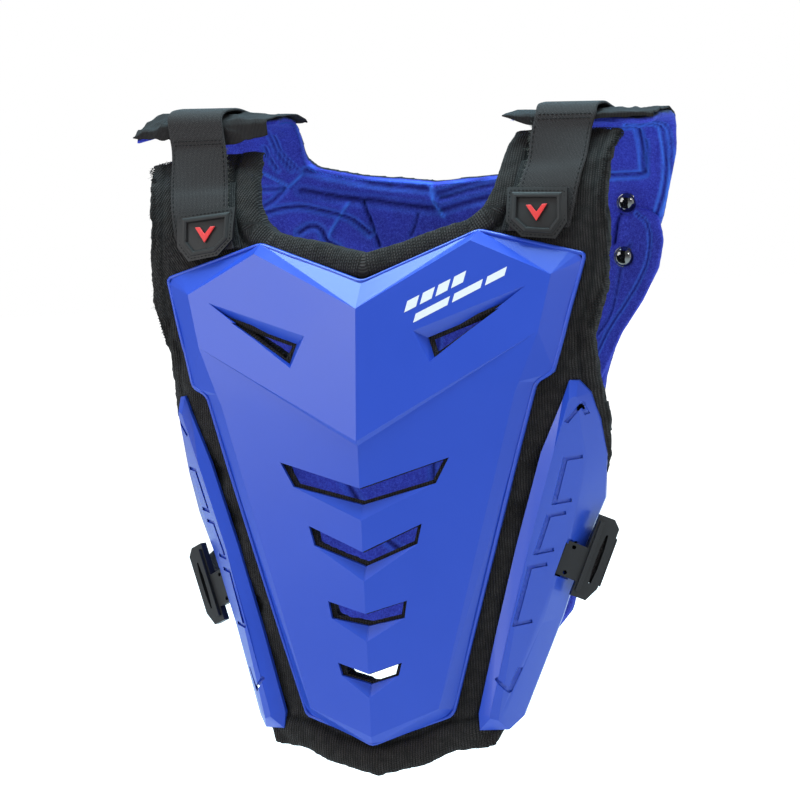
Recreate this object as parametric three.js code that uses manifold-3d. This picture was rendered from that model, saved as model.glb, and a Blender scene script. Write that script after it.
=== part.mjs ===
// Roost deflector: a moulded chest and back guard worn over the shoulders.
// Millimetres, +Z up, the chest faces -Y, +X is the viewer's right.
// The origin is the middle of the shoulder line, where the vest sits on its wearer.
import * as THREE from 'three';
import { TessellateModifier } from 'three/addons/modifiers/TessellateModifier.js';
import { mergeVertices } from 'three/addons/utils/BufferGeometryUtils.js';
import Module from 'manifold-3d';

// Overall sizes
const vestHeight = 430;
const chestDepth = 120;
const backDepth = 111;
const chestPlateHalfWidth = 152;
const chestLinerHalfWidth = 174;
const backHalfWidth = 192;
const sideHalfWidth = 154;

// Walls and pads
const shellWall = 3;
const wingWall = 4;
const chestPadThickness = 13;
const backPadThickness = 12;
const tabThickness = 5;
const tabHem = 2;
const flapThickness = 8;
const clearance = 0.3;

// Relief of the plates
const ridgeRise = 12.5;
const lowerRidgeRise = 9.5;
const plateEdgeRise = 9;
const lowerEdgeRise = 5;
const ventDepth = 6;
const scoopDepth = 5.5;
const wingRise = 0.0585 * sideHalfWidth;
const backPlateRise = 10;
const cornerRound = 11;
const ventMargin = 1.5;

// Straps, patches, clips and rivets
const strapWidth = 42;
const strapThickness = 2.2;
const tapeWidth = 44;
const tapeThickness = 1.4;
const tapeShift = 4;
const patchWidth = 42;
const patchHeight = 36;
const patchThickness = 3;
const bezelWidth = 7;
const bezelDepth = 1.6;
const emblemSpan = 15;
const emblemHeight = 11;
const emblemArm = 5;
const emblemThickness = 1.5;
const sideStrapWidth = 34;
const sideStrapThickness = 2;
const clipHeight = 58;
const clipWidth = 16;
const clipThickness = 5;
const clipTongueHeight = 24;
const clipTongueLength = 0.0974 * sideHalfWidth;
const clipSlotWidth = 3.5;
const clipScrewDiameter = 3;
const clipHoleSides = 8;
const clipCorner = 5;
const clipRibWidth = 3;
const clipRibHeight = 2.5;
const clipRibShort = 8;
const clipSlotPlace = 0.6;
const clipScrewPlace = 0.4;
const clipSetIn = 0.0844 * sideHalfWidth;
const clipTurn = 25;
const clipTongueDrop = 7;
const clipNotchMargin = 0.008 * sideHalfWidth;
const clipNotchDepth = 26;
const rivetHeadDiameter = 15;
const rivetHeadHeight = 5;
const rivetShankDiameter = 5;
const rivetTailDiameter = 11;
const rivetTailHeight = 2;
const rivetSides = 12;
const rivetDomeSteps = 4;
const rivetDomeFlat = 0.8;
const backRoll = 3.5;
const backShift = 4;
const tipRise = 6;

// Curve of the chest in rows down the front: shares of the vest's height and of the
// chest's depth, with the slope towards the sides
const chestRows = [
  { down: -0.06, forward: -0.55, flare: -0.2 },
  { down: 0.0, forward: -0.17, flare: -0.2 },
  { down: 0.0116, forward: -0.117, flare: -0.2 },
  { down: 0.035, forward: 0.058, flare: -0.16 },
  { down: 0.07, forward: 0.225, flare: -0.12 },
  { down: 0.105, forward: 0.35, flare: -0.08 },
  { down: 0.14, forward: 0.46, flare: -0.02 },
  { down: 0.186, forward: 0.6, flare: 0.08 },
  { down: 0.23, forward: 0.671, flare: 0.11 },
  { down: 0.302, forward: 0.75, flare: 0.115 },
  { down: 0.386, forward: 0.833, flare: 0.115 },
  { down: 0.512, forward: 0.892, flare: 0.115 },
  { down: 0.651, forward: 0.933, flare: 0.115 },
  { down: 0.79, forward: 0.967, flare: 0.115 },
  { down: 0.9, forward: 0.985, flare: 0.115 },
  { down: 1.05, forward: 1.12, flare: 0.115 },
];

// Where the chest turns towards the ribs: shares of the vest's height and of the side width
const bendRows = [
  { down: 0.28, across: 1.25 },
  { down: 0.33, across: 0.97 },
  { down: 0.4, across: 0.895 },
  { down: 0.51, across: 0.785 },
  { down: 0.651, across: 0.66 },
  { down: 0.85, across: 0.53 },
  { down: 0.94, across: 0.53 },
  { down: 1.05, across: 0.53 },
];
const bendSlope = 1.2;
const bendRadius = 12;

// Path over the shoulder and down the back: shares of the back's depth and of the vest's
// height, with the share of the back's depth that the sides come forward
const backRows = [
  { back: -0.18, up: 0.012, curl: 0.0 },
  { back: 0.0, up: 0.017, curl: 0.0 },
  { back: 0.18, up: 0.0205, curl: 0.0 },
  { back: 0.36, up: 0.021, curl: 0.0 },
  { back: 0.51, up: 0.0135, curl: 0.0 },
  { back: 0.67, up: -0.009, curl: 0.08 },
  { back: 0.8, up: -0.045, curl: 0.16 },
  { back: 0.89, up: -0.0905, curl: 0.22 },
  { back: 0.95, up: -0.147, curl: 0.3 },
  { back: 0.985, up: -0.237, curl: 0.42 },
  { back: 0.97, up: -0.372, curl: 0.6 },
  { back: 0.86, up: -0.558, curl: 0.72 },
  { back: 0.72, up: -0.72, curl: 0.76 },
  { back: 0.5, up: -0.93, curl: 0.76 },
];

// Outlines: a share of the half width, and a share of the vest's height downwards
const chestLinerOutline = [
  { across: 0.0, down: 0.188 },
  { across: 0.25, down: 0.163 },
  { across: 0.4, down: 0.146 },
  { across: 0.462, down: 0.128 },
  { across: 0.495, down: 0.1 },
  { across: 0.51, down: 0.06 },
  { across: 0.54, down: 0.012 },
  { across: 0.78, down: 0.0125 },
  { across: 0.995, down: 0.022 },
  { across: 0.968, down: 0.06 },
  { across: 0.952, down: 0.12 },
  { across: 0.956, down: 0.19 },
  { across: 0.94, down: 0.26 },
  { across: 0.88, down: 0.34 },
  { across: 0.888, down: 0.4 },
  { across: 0.902, down: 0.47 },
  { across: 0.89, down: 0.53 },
  { across: 0.8, down: 0.65 },
  { across: 0.61, down: 0.83 },
  { across: 0.505, down: 0.925 },
  { across: 0.45, down: 0.962 },
  { across: 0.3, down: 0.967 },
  { across: 0.2, down: 0.985 },
  { across: 0.0, down: 1.003 },
];
const wingOutline = [
  { across: 0.9, down: 0.402 },
  { across: 0.935, down: 0.404 },
  { across: 0.97, down: 0.425 },
  { across: 0.992, down: 0.47 },
  { across: 1.0, down: 0.53 },
  { across: 0.975, down: 0.6 },
  { across: 0.893, down: 0.665 },
  { across: 0.78, down: 0.78 },
  { across: 0.62, down: 0.925 },
  { across: 0.57, down: 0.94 },
  { across: 0.455, down: 0.935 },
  { across: 0.45, down: 0.91 },
  { across: 0.545, down: 0.78 },
  { across: 0.647, down: 0.65 },
  { across: 0.77, down: 0.51 },
  { across: 0.87, down: 0.43 },
];
const backLinerOutline = [
  { across: 0.0, row: 7.0 },
  { across: 0.3, row: 6.75 },
  { across: 0.47, row: 6.45 },
  { across: 0.51, row: 6.1 },
  { across: 0.505, row: 5.0 },
  { across: 0.48, row: 3.0 },
  { across: 0.455, row: 1.2 },
  { across: 0.62, row: 0.7 },
  { across: 0.82, row: 0.3 },
  { across: 0.99, row: 0.0 },
  { across: 1.005, row: 2.0 },
  { across: 1.0, row: 4.0 },
  { across: 0.985, row: 6.0 },
  { across: 0.93, row: 8.0 },
  { across: 0.86, row: 9.0 },
  { across: 0.78, row: 9.6 },
  { across: 0.72, row: 10.2 },
  { across: 0.68, row: 11.0 },
  { across: 0.66, row: 12.0 },
  { across: 0.62, row: 12.4 },
  { across: 0.5, row: 12.72 },
  { across: 0.3, row: 12.9 },
  { across: 0.0, row: 13.0 },
];
const flapOutline = [
  { across: 0.73, row: 7.85 },
  { across: 0.79, row: 7.62 },
  { across: 0.88, row: 7.66 },
  { across: 0.925, row: 7.95 },
  { across: 0.945, row: 8.4 },
  { across: 0.93, row: 8.9 },
  { across: 0.87, row: 9.35 },
  { across: 0.79, row: 9.75 },
  { across: 0.7, row: 10.3 },
  { across: 0.63, row: 11.0 },
  { across: 0.59, row: 11.5 },
  { across: 0.55, row: 11.2 },
  { across: 0.56, row: 10.2 },
  { across: 0.62, row: 9.2 },
  { across: 0.67, row: 8.4 },
];
const backShellOutline = [
  { across: 0.0, row: 7.75 },
  { across: 0.4, row: 6.95 },
  { across: 0.82, row: 6.5 },
  { across: 0.9, row: 7.1 },
  { across: 0.86, row: 8.8 },
  { across: 0.78, row: 9.4 },
  { across: 0.65, row: 9.6 },
  { across: 0.5, row: 11.9 },
  { across: 0.3, row: 12.65 },
  { across: 0.0, row: 12.85 },
];

// Corners of the chest plate: shares of the plate's half width and of the vest's height
const plateCorners = {
  notchOuter: { across: 0, down: 0.23 },
  peakOuter: { across: 0.52, down: 0.1616 },
  shoulder: { across: 1.0, down: 0.209 },
  hipOuter: { across: 0.855, down: 0.3874 },
  step: { across: 0.78, down: 0.401 },
  footOuter: { across: 0.347, down: 0.912 },
  tipOuter: { across: 0, down: 0.95 },
  notchInner: { across: 0, down: 0.2705 },
  peakInner: { across: 0.51, down: 0.177 },
  shoulderInner: { across: 0.859, down: 0.237 },
  hipInner: { across: 0.8, down: 0.322 },
  shieldTip: { across: 0, down: 0.4737 },
  stepTip: { across: 0, down: 0.482 },
  stepInner: { across: 0.712, down: 0.397 },
  bandTop: { across: 0.69, down: 0.414 },
  bandFoot: { across: 0.3, down: 0.895 },
  tipInner: { across: 0, down: 0.935 },
};

// The two windows in the upper shield: outer corners and through-hole corners
const windowOuter = [
  { across: 0.75, down: 0.2514 },
  { across: 0.255, down: 0.31 },
  { across: 0.326, down: 0.359 },
];
const windowHole = [
  { across: 0.635, down: 0.283 },
  { across: 0.308, down: 0.323 },
  { across: 0.342, down: 0.352 },
];

// The four chevron slots down the lower shield, with the scoop under each
const chevrons = [
  { tip: 0.395, tipDown: 0.507, low: 0.333, lowDown: 0.546, top: 0.548, bottom: 0.576, scoop: 0.598 },
  { tip: 0.264, tipDown: 0.607, low: 0.241, lowDown: 0.638, top: 0.647, bottom: 0.672, scoop: 0.693 },
  { tip: 0.184, tipDown: 0.725, low: 0.17, lowDown: 0.752, top: 0.743, bottom: 0.765, scoop: 0.787 },
  { tip: 0.149, tipDown: 0.821, low: 0.133, lowDown: 0.841, top: 0.837, bottom: 0.856, scoop: 0.875 },
];

// Shoulder strap: rows up the chest are placed by height, rows over the shoulder by
// shares of the strap's rise and reach
const strapCentreLow = 120;
const strapCentreHigh = 136;
const strapRise = 17;
const strapReach = 48;
const strapLowRows = [0.168, 0.154, 0.14, 0.12, 0.1, 0.08, 0.06];
const strapHighRows = [
  { reach: -0.58, rise: -0.35 },
  { reach: -0.54, rise: 0.235 },
  { reach: -0.51, rise: 0.68 },
  { reach: -0.385, rise: 0.94 },
  { reach: -0.167, rise: 1.05 },
  { reach: 0.21, rise: 1.09 },
  { reach: 0.625, rise: 0.95 },
  { reach: 1.0, rise: 0.82 },
];
const patchDown = 0.142;
const rivetAcross = 0.79;
const rivetRows = { upper: 7.55, lower: 8.7 };
const clipDown = 0.695;
const clipDrop = { left: 3, right: -12 };

// Wings: middle line of the raised field, and the slots and notches cut in it
const wingMiddle = [
  { down: 0.4, across: 0.93 },
  { down: 0.51, across: 0.885 },
  { down: 0.65, across: 0.77 },
  { down: 0.94, across: 0.53 },
];
const wingNarrow = 0.7;
const wingHead = { down: 0.43, gain: 30, reach: 1.4 };
const wingFoot = { down: 0.91, gain: 40 };
const wingSlots = [
  { top: 0.523, foot: 0.59, acrossTop: 0.867, acrossFoot: 0.81 },
  { top: 0.609, foot: 0.665, acrossTop: 0.785, acrossFoot: 0.727 },
  { top: 0.686, foot: 0.772, acrossTop: 0.7, acrossFoot: 0.63 },
];
const wingSlotWidth = 2.6;
const wingSlotArm = 0.052 * sideHalfWidth;
const wingArrow = [
  { across: 0.89, down: 0.463 },
  { across: 0.945, down: 0.44 },
  { across: 0.955, down: 0.455 },
];
const wingTick = [
  { across: 0.545, down: 0.855 },
  { across: 0.59, down: 0.875 },
  { across: 0.63, down: 0.845 },
];
const sideStrapRow = 11.84;
const sideStrapHold = 16;
const sideStrapTuck = 6;
const sideStrapLead = 3;
const sideStrapBends = [0.12, 0.5, 0.88];
const backShellGap = 0.3;

// Raised field of the back plate: how far in from the rim, across and in rows
const fieldInset = 0.075;
const fieldTopRows = 0.45;
const fieldFootRows = -0.2;
const fieldTopEnd = 8;
const fieldNarrow = 0.75;

// Layout of the pads in triangles
const longestEdge = 41;
const patchEdge = 16;
const rowScale = 25;
const far = 300;

const wasm = await Module();
wasm.setup();

const shellMaterial = new THREE.MeshStandardMaterial({ color: 0x2a50c8, roughness: 0.35 });
const fabricMaterial = new THREE.MeshStandardMaterial({ color: 0x17181a, roughness: 0.9 });
const fleeceMaterial = new THREE.MeshStandardMaterial({ color: 0x1f2f9e, roughness: 1.0 });
const strapMaterial = new THREE.MeshStandardMaterial({ color: 0x222427, roughness: 0.85 });
const rubberMaterial = new THREE.MeshStandardMaterial({ color: 0x1b1c1e, roughness: 0.6 });
const emblemMaterial = new THREE.MeshStandardMaterial({ color: 0xe8393a, roughness: 0.5 });
const clipMaterial = new THREE.MeshStandardMaterial({ color: 0x141516, roughness: 0.5 });
const rivetMaterial = new THREE.MeshStandardMaterial({ color: 0x08090a, roughness: 0.12 });

// Value of a column between the rows of a table, by another column
function between(rows, by, value, column) {
  let low = 0;
  while (low < rows.length - 2 && (rows[low + 1][by] - value) * Math.sign(rows[1][by] - rows[0][by]) < 0) {
    low += 1;
  }
  const share = (value - rows[low][by]) / (rows[low + 1][by] - rows[low][by]);
  return rows[low][column] + share * (rows[low + 1][column] - rows[low][column]);
}

// Value of a column at a row number with a fraction
function atRow(rows, row, column) {
  const low = Math.min(Math.max(Math.floor(row), 0), rows.length - 2);
  return rows[low][column] + (row - low) * (rows[low + 1][column] - rows[low][column]);
}

// Forward face of the chest at a place across and up
function chestY(x, z) {
  const down = -z / vestHeight;
  const centre = -between(chestRows, 'down', down, 'forward') * chestDepth;
  const slope = between(chestRows, 'down', down, 'flare');
  const past = Math.abs(x) - between(bendRows, 'down', down, 'across') * sideHalfWidth;
  const turned = (past + Math.hypot(past, bendRadius)) / 2;
  return centre + slope * Math.abs(x) + bendSlope * turned;
}

// A point of the back, at a row of its table, lifted outwards by a height
function backPoint(x, row, height) {
  const here = new THREE.Vector2(atRow(backRows, row, 'back') * backDepth, atRow(backRows, row, 'up') * vestHeight);
  const next = new THREE.Vector2(
    atRow(backRows, row + 0.5, 'back') * backDepth,
    atRow(backRows, row + 0.5, 'up') * vestHeight,
  );
  const last = new THREE.Vector2(
    atRow(backRows, row - 0.5, 'back') * backDepth,
    atRow(backRows, row - 0.5, 'up') * vestHeight,
  );
  const along = next.sub(last).normalize();
  const share = x / backHalfWidth;
  const forward = atRow(backRows, row, 'curl') * backDepth * share * share;
  return new THREE.Vector3(x, here.x - forward - along.y * height, here.y + along.x * height);
}

// Thickness of the back pad, thin in the shoulder tabs
function backPad(row) {
  const share = THREE.MathUtils.smoothstep(row, 3, 7);
  return THREE.MathUtils.lerp(tabThickness, backPadThickness, share);
}

// Solid from a closed geometry, turned so that its faces point out
function solid(geometry) {
  geometry.deleteAttribute('normal');
  geometry.deleteAttribute('uv');
  const welded = mergeVertices(geometry, 1e-3);
  const places = welded.attributes.position;
  const index = Array.from(welded.index.array);
  const corner = [new THREE.Vector3(), new THREE.Vector3(), new THREE.Vector3()];
  const kept = [];
  let volume = 0;
  for (let i = 0; i < index.length; i += 3) {
    const [a, b, c] = [index[i], index[i + 1], index[i + 2]];
    if (a === b || b === c || c === a) {
      continue;
    }
    kept.push(a, b, c);
    corner.forEach((v, k) => v.fromBufferAttribute(places, index[i + k]));
    volume += corner[0].dot(corner[1].clone().cross(corner[2]));
  }
  if (volume < 0) {
    kept.reverse();
  }
  const mesh = new wasm.Mesh({
    numProp: 3,
    vertProperties: Float32Array.from(places.array),
    triVerts: Uint32Array.from(kept),
  });
  return new wasm.Manifold(mesh);
}

// Geometry from a list of triangles, each of three points
function fromTriangles(triangles) {
  const geometry = new THREE.BufferGeometry();
  geometry.setFromPoints(triangles.flat());
  return geometry;
}

// Flat triangles that fill an outline, with no edge longer than a limit
function fill(outline, longest) {
  const points = outline.map(([s, t]) => new THREE.Vector2(s, t));
  if (THREE.ShapeUtils.isClockWise(points)) {
    points.reverse();
  }
  const faces = THREE.ShapeUtils.triangulateShape(points, []);
  const corners = faces.flat().map((i) => new THREE.Vector3(points[i].x, points[i].y, 0));
  const flat = new THREE.BufferGeometry().setFromPoints(corners);
  const fine = new TessellateModifier(longest, 12).modify(flat).attributes.position;
  const triangles = [];
  for (let i = 0; i < fine.count; i += 3) {
    triangles.push([0, 1, 2].map((k) => [fine.getX(i + k), fine.getY(i + k)]));
  }
  return triangles;
}

// The same triangles with their mirror images in x
function bothSides(triangles) {
  const mirrored = triangles.map(([a, b, c]) => [a, c, b].map(([s, ...rest]) => [-s, ...rest]));
  return [...triangles, ...mirrored];
}

// Closed solid between a face and a back that share one layout of triangles
function panel(triangles, face, back) {
  const key = (p) => `${p[0].toFixed(2)}/${p[1].toFixed(2)}`;
  const open = new Map();
  for (const triangle of triangles) {
    triangle.forEach((from, k) => {
      const to = triangle[(k + 1) % 3];
      const twin = `${key(to)}:${key(from)}`;
      if (open.has(twin)) {
        open.delete(twin);
      } else {
        open.set(`${key(from)}:${key(to)}`, [from, to]);
      }
    });
  }
  const walls = [];
  for (const [a, b, c] of triangles) {
    walls.push([face(a), face(b), face(c)]);
    walls.push([back(a), back(c), back(b)]);
  }
  for (const [from, to] of open.values()) {
    walls.push([face(to), face(from), back(from)]);
    walls.push([face(to), back(from), back(to)]);
  }
  return solid(fromTriangles(walls));
}

// Closed solid through a row of loops with equal numbers of points
function loft(loops) {
  const walls = [];
  for (let i = 0; i + 1 < loops.length; i += 1) {
    const [here, next] = [loops[i], loops[i + 1]];
    here.forEach((point, k) => {
      const l = (k + 1) % here.length;
      walls.push([point, here[l], next[k]]);
      walls.push([here[l], next[l], next[k]]);
    });
  }
  for (const [loop, turn] of [[loops[0], true], [loops[loops.length - 1], false]]) {
    for (let k = 1; k + 1 < loop.length; k += 1) {
      walls.push(turn ? [loop[0], loop[k + 1], loop[k]] : [loop[0], loop[k], loop[k + 1]]);
    }
  }
  return solid(fromTriangles(walls));
}

// Points of a rounded corner between two neighbours
function rounded(before, corner, after, reach, steps = 3) {
  const start = corner.clone().add(before.clone().sub(corner).setLength(reach));
  const end = corner.clone().add(after.clone().sub(corner).setLength(reach));
  return new THREE.QuadraticBezierCurve(start, corner, end).getPoints(steps);
}

// Named mesh of a solid
function piece(name, body, material) {
  const mesh = body.getMesh();
  const geometry = new THREE.BufferGeometry();
  geometry.setAttribute('position', new THREE.BufferAttribute(mesh.vertProperties, 3));
  geometry.setIndex(new THREE.BufferAttribute(mesh.triVerts, 1));
  geometry.computeVertexNormals();
  const node = new THREE.Mesh(geometry, material);
  node.name = name;
  return node;
}

// Chest plate: two raised shields with a ridge, cut by windows and chevron slots
const plateAt = ({ across, down }) => [across * chestPlateHalfWidth, -down * vestHeight];
const corner2 = (name) => new THREE.Vector2(...plateAt(plateCorners[name]));

// Plane through two points of the ridge and one at the side, rising towards the ridge
function ridgePlane(top, foot, side, topY, footY, sideY) {
  const [, topZ] = plateAt(plateCorners[top]);
  const [, footZ] = plateAt(plateCorners[foot]);
  const [sideX, sideZ] = plateAt(plateCorners[side]);
  const lean = (footY - topY) / (footZ - topZ);
  const slope = (sideY - topY - lean * (sideZ - topZ)) / sideX;
  return (x, z) => topY + lean * (z - topZ) + slope * Math.abs(x);
}

const rimY = (name) => chestY(...plateAt(plateCorners[name]));
const shieldY = ridgePlane(
  'notchInner', 'shieldTip', 'shoulderInner',
  rimY('notchInner') - ridgeRise, rimY('shieldTip') - ridgeRise, rimY('shoulderInner') - plateEdgeRise,
);
const lowerY = ridgePlane(
  'stepTip', 'tipInner', 'bandTop',
  rimY('stepTip') - lowerRidgeRise, rimY('tipInner') - lowerRidgeRise, rimY('bandTop') - lowerEdgeRise,
);

// Facets of half the plate, as corners with the surface that each lies on
function plateFacets() {
  const rim = (v) => [v.x, v.y, chestY(v.x, v.y) - (v.equals(c.tipOuter) ? tipRise : 0)];
  const high = (name) => {
    const v = corner2(name);
    return [v.x, v.y, shieldY(v.x, v.y)];
  };
  const low = (name) => {
    const v = corner2(name);
    return [v.x, v.y, lowerY(v.x, v.y)];
  };
  const c = Object.fromEntries(Object.keys(plateCorners).map((name) => [name, corner2(name)]));
  const shoulder = rounded(c.peakOuter, c.shoulder, c.hipOuter, cornerRound).map(rim);
  const foot = rounded(c.step, c.footOuter, c.tipOuter, cornerRound).map(rim);
  return [
    [high('notchInner'), rim(c.notchOuter), rim(c.peakOuter), high('peakInner')],
    [high('shoulderInner'), high('peakInner'), rim(c.peakOuter), ...shoulder],
    [high('hipInner'), high('shoulderInner'), shoulder[shoulder.length - 1], rim(c.hipOuter)],
    [high('notchInner'), high('peakInner'), high('shoulderInner'), high('hipInner'), high('shieldTip')],
    [low('stepTip'), high('shieldTip'), high('hipInner'), low('stepInner')],
    [low('stepInner'), high('hipInner'), rim(c.hipOuter), rim(c.step)],
    [low('bandTop'), low('stepInner'), rim(c.step)],
    [low('bandFoot'), low('bandTop'), rim(c.step), ...foot],
    [low('bandFoot'), foot[foot.length - 1], rim(c.tipOuter), low('tipInner')],
    [low('bandFoot'), low('tipInner'), low('stepTip'), low('stepInner'), low('bandTop')],
  ];
}

function plateTriangles() {
  const triangles = [];
  for (const facet of plateFacets()) {
    for (let k = 1; k + 1 < facet.length; k += 1) {
      triangles.push([facet[0], facet[k], facet[k + 1]]);
    }
  }
  return bothSides(triangles);
}

// Cutter from an outer loop, far in front, in to a deeper inner loop
function pocket(outer, inner) {
  const front = outer.map((p) => new THREE.Vector3(p.x, p.y - far, p.z));
  return loft([front, outer, inner]);
}

// Cutter straight through along y
function through(loop) {
  const at = (y) => loop.map(([x, z]) => new THREE.Vector3(x, y, z));
  return loft([at(-far), at(far)]);
}

// Loop grown or shrunk from its own middle by a distance
function grown(loop, by) {
  const middle = loop.reduce(([a, b], [x, z]) => [a + x / loop.length, b + z / loop.length], [0, 0]);
  return loop.map(([x, z]) => {
    const away = new THREE.Vector2(x - middle[0], z - middle[1]);
    away.setLength(Math.max(away.length() + by, 0.1));
    return [middle[0] + away.x, middle[1] + away.y];
  });
}

// Windows as cutters: the chamfered pocket and the hole through
function windowCutters(side, margin, setBack = 0) {
  const place = (rows) => rows.map(plateAt).map(([x, z]) => [side * x, z]);
  const hole = place(windowHole);
  const outer = place(windowOuter).map(([x, z]) => new THREE.Vector3(x, shieldY(x, z) + setBack - 0.01, z));
  const inner = hole.map(([x, z]) => new THREE.Vector3(x, shieldY(x, z) + setBack + ventDepth, z));
  return { pocket: pocket(outer, inner), hole: through(grown(hole, margin)) };
}

// Half of a chevron as cutters, both sides meeting on the ridge
function chevronCutters(row, side, margin, setBack = 0) {
  const x = (share) => side * share * chestPlateHalfWidth;
  const z = (share) => -share * vestHeight;
  const inward = -side * 0.5;
  const tip = [x(row.tip) + side * margin, z(row.tipDown)];
  const low = [x(row.low) + side * margin, z(row.lowDown) - margin];
  const bottom = [inward, z(row.bottom) - margin];
  const top = [inward, z(row.top) + margin];
  const surface = (px, pz, deep) => new THREE.Vector3(px, lowerY(px, pz) + setBack + deep, pz);
  const scoop = [
    surface(x(row.low), z(row.lowDown), -0.01),
    surface(inward, z(row.scoop), -0.01),
    surface(inward, z(row.top), -0.01),
  ];
  const deep = [
    surface(x(row.low) * 0.98, z(row.lowDown), 0.2),
    surface(inward, z(row.bottom), scoopDepth),
    surface(inward, z(row.top), scoopDepth),
  ];
  return { scoop: pocket(scoop, deep), slot: through([tip, low, bottom, top]) };
}

const sides = [{ name: 'left', sign: -1 }, { name: 'right', sign: 1 }];
const allSides = (make) => sides.flatMap(({ sign }) => make(sign));

// Block behind the plate's face, dented by the pockets, all set back by a distance
function plateRelief(setBack) {
  const block = panel(
    plateTriangles(),
    ([x, z, y]) => new THREE.Vector3(x, y + setBack, z),
    ([x, z]) => new THREE.Vector3(x, far / 3 + setBack, z),
  );
  const windows = allSides((sign) => windowCutters(sign, 0, setBack).pocket);
  const scoops = allSides((sign) => chevrons.map((row) => chevronCutters(row, sign, 0, setBack).scoop));
  return [...windows, ...scoops].reduce((body, dent) => body.subtract(dent), block);
}

function frontShell() {
  const holes = [
    ...allSides((sign) => windowCutters(sign, 0).hole),
    ...allSides((sign) => chevrons.map((row) => chevronCutters(row, sign, 0).slot)),
  ];
  const shell = plateRelief(0).subtract(plateRelief(shellWall));
  return holes.reduce((body, hole) => body.subtract(hole), shell);
}

// Space of the chest plate and all in front of it, with its clearance
function frontShellRoom() {
  return panel(
    plateTriangles(),
    ([x, z]) => new THREE.Vector3(x, -far, z),
    ([x, z]) => new THREE.Vector3(x, chestY(x, z) + shellWall + clearance, z),
  );
}

// Wings: raised leaves along the ribs, chamfered all round
const wingAt = ({ across, down }) => [across * sideHalfWidth, -down * vestHeight];

function wingTriangles() {
  const outline = wingOutline.map(wingAt);
  const middle = outline.map(([x, z]) => {
    const down = -z / vestHeight;
    const centre = between(wingMiddle, 'down', down, 'across') * sideHalfWidth;
    const inset = Math.sign(centre - x) * Math.min(wingRise, Math.abs(centre - x) * wingNarrow);
    const head = THREE.MathUtils.clamp((wingHead.down - down) * wingHead.gain, 0, 1);
    const foot = THREE.MathUtils.clamp((down - wingFoot.down) * wingFoot.gain, 0, 1);
    return [x + inset, z + (foot - head * wingHead.reach) * wingRise];
  });
  const band = [];
  outline.forEach((point, k) => {
    const l = (k + 1) % outline.length;
    band.push([[...point, 0], [...outline[l], 0], [...middle[k], 1]]);
    band.push([[...outline[l], 0], [...middle[l], 1], [...middle[k], 1]]);
  });
  const cap = fill(middle, far).map((t) => t.map((p) => [...p, 1]));
  const turned = (t) => {
    const [a, b, c] = t;
    const area = (b[0] - a[0]) * (c[1] - a[1]) - (b[1] - a[1]) * (c[0] - a[0]);
    return area < 0 ? [a, c, b] : t;
  };
  return [...band, ...cap].map(turned);
}

function wing(sign) {
  const face = (p) => chestY(p[0], p[1]) - (p[2] ? wingRise : 0);
  return panel(
    wingTriangles(),
    (p) => new THREE.Vector3(sign * p[0], face(p), p[1]),
    (p) => new THREE.Vector3(sign * p[0], face(p) + wingWall, p[1]),
  );
}

// Space of a wing and all in front of it, with its clearance
function wingRoom(sign) {
  return panel(
    wingTriangles(),
    (p) => new THREE.Vector3(sign * p[0], -far, p[1]),
    (p) => new THREE.Vector3(sign * p[0], chestY(p[0], p[1]) + wingWall + clearance, p[1]),
  );
}

// Thin cutter along a path of points across and up
function slit(path, width) {
  const cuts = [];
  for (let k = 0; k + 1 < path.length; k += 1) {
    const from = new THREE.Vector2(...path[k]);
    const to = new THREE.Vector2(...path[k + 1]);
    const along = to.clone().sub(from).setLength(width / 2);
    const across = new THREE.Vector2(-along.y, along.x);
    const corners = [
      from.clone().sub(along).add(across),
      from.clone().sub(along).sub(across),
      to.clone().add(along).sub(across),
      to.clone().add(along).add(across),
    ];
    cuts.push(through(corners.map((v) => [v.x, v.y])));
  }
  return cuts.reduce((body, cut) => body.add(cut));
}

// Bracket slots, arrow notch and tick notch of a wing
function wingCuts(sign) {
  const at = (across, down) => [sign * across * sideHalfWidth, -down * vestHeight];
  const cuts = wingSlots.map(({ top, foot, acrossTop, acrossFoot }) => {
    const head = at(acrossTop, top);
    const heel = at(acrossFoot, foot);
    const headArm = [head[0] + sign * wingSlotArm, head[1]];
    const heelArm = [heel[0] + sign * wingSlotArm, heel[1]];
    return slit([headArm, head, heel, heelArm], wingSlotWidth);
  });
  cuts.push(slit(wingArrow.map(({ across, down }) => at(across, down)), wingSlotWidth));
  cuts.push(slit(wingTick.map(({ across, down }) => at(across, down)), wingSlotWidth));
  return cuts;
}

// Middle height of a clip, and the outer edge of the wing there
const clipZ = (side) => -clipDown * vestHeight - clipDrop[side];

function wingEdgeX(z) {
  const outer = wingOutline.slice(3, 10);
  return between(outer, 'down', -z / vestHeight, 'across') * sideHalfWidth;
}

// Places a clip: its length runs up along the wing's edge and its face looks outwards
function clipFrame(side, sign) {
  const z = clipZ(side);
  const step = 20;
  const edge = (height) => {
    const x = wingEdgeX(height) - clipSetIn;
    return new THREE.Vector3(sign * x, chestY(x, height) + shellWall + clearance, height);
  };
  const up = edge(z + step).sub(edge(z - step)).normalize();
  const turn = THREE.MathUtils.degToRad(clipTurn);
  const sideways = new THREE.Vector3(sign * Math.cos(turn), Math.sin(turn), 0);
  const face = new THREE.Vector3().crossVectors(sideways, up).multiplyScalar(-sign).normalize();
  if (face.x * sign < 0) {
    face.negate();
  }
  const out = new THREE.Vector3().crossVectors(up, face);
  const matrix = new THREE.Matrix4().makeBasis(out, up, face);
  matrix.setPosition(edge(z));
  return { matrix, outwards: Math.sign(out.x * sign) };
}

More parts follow.
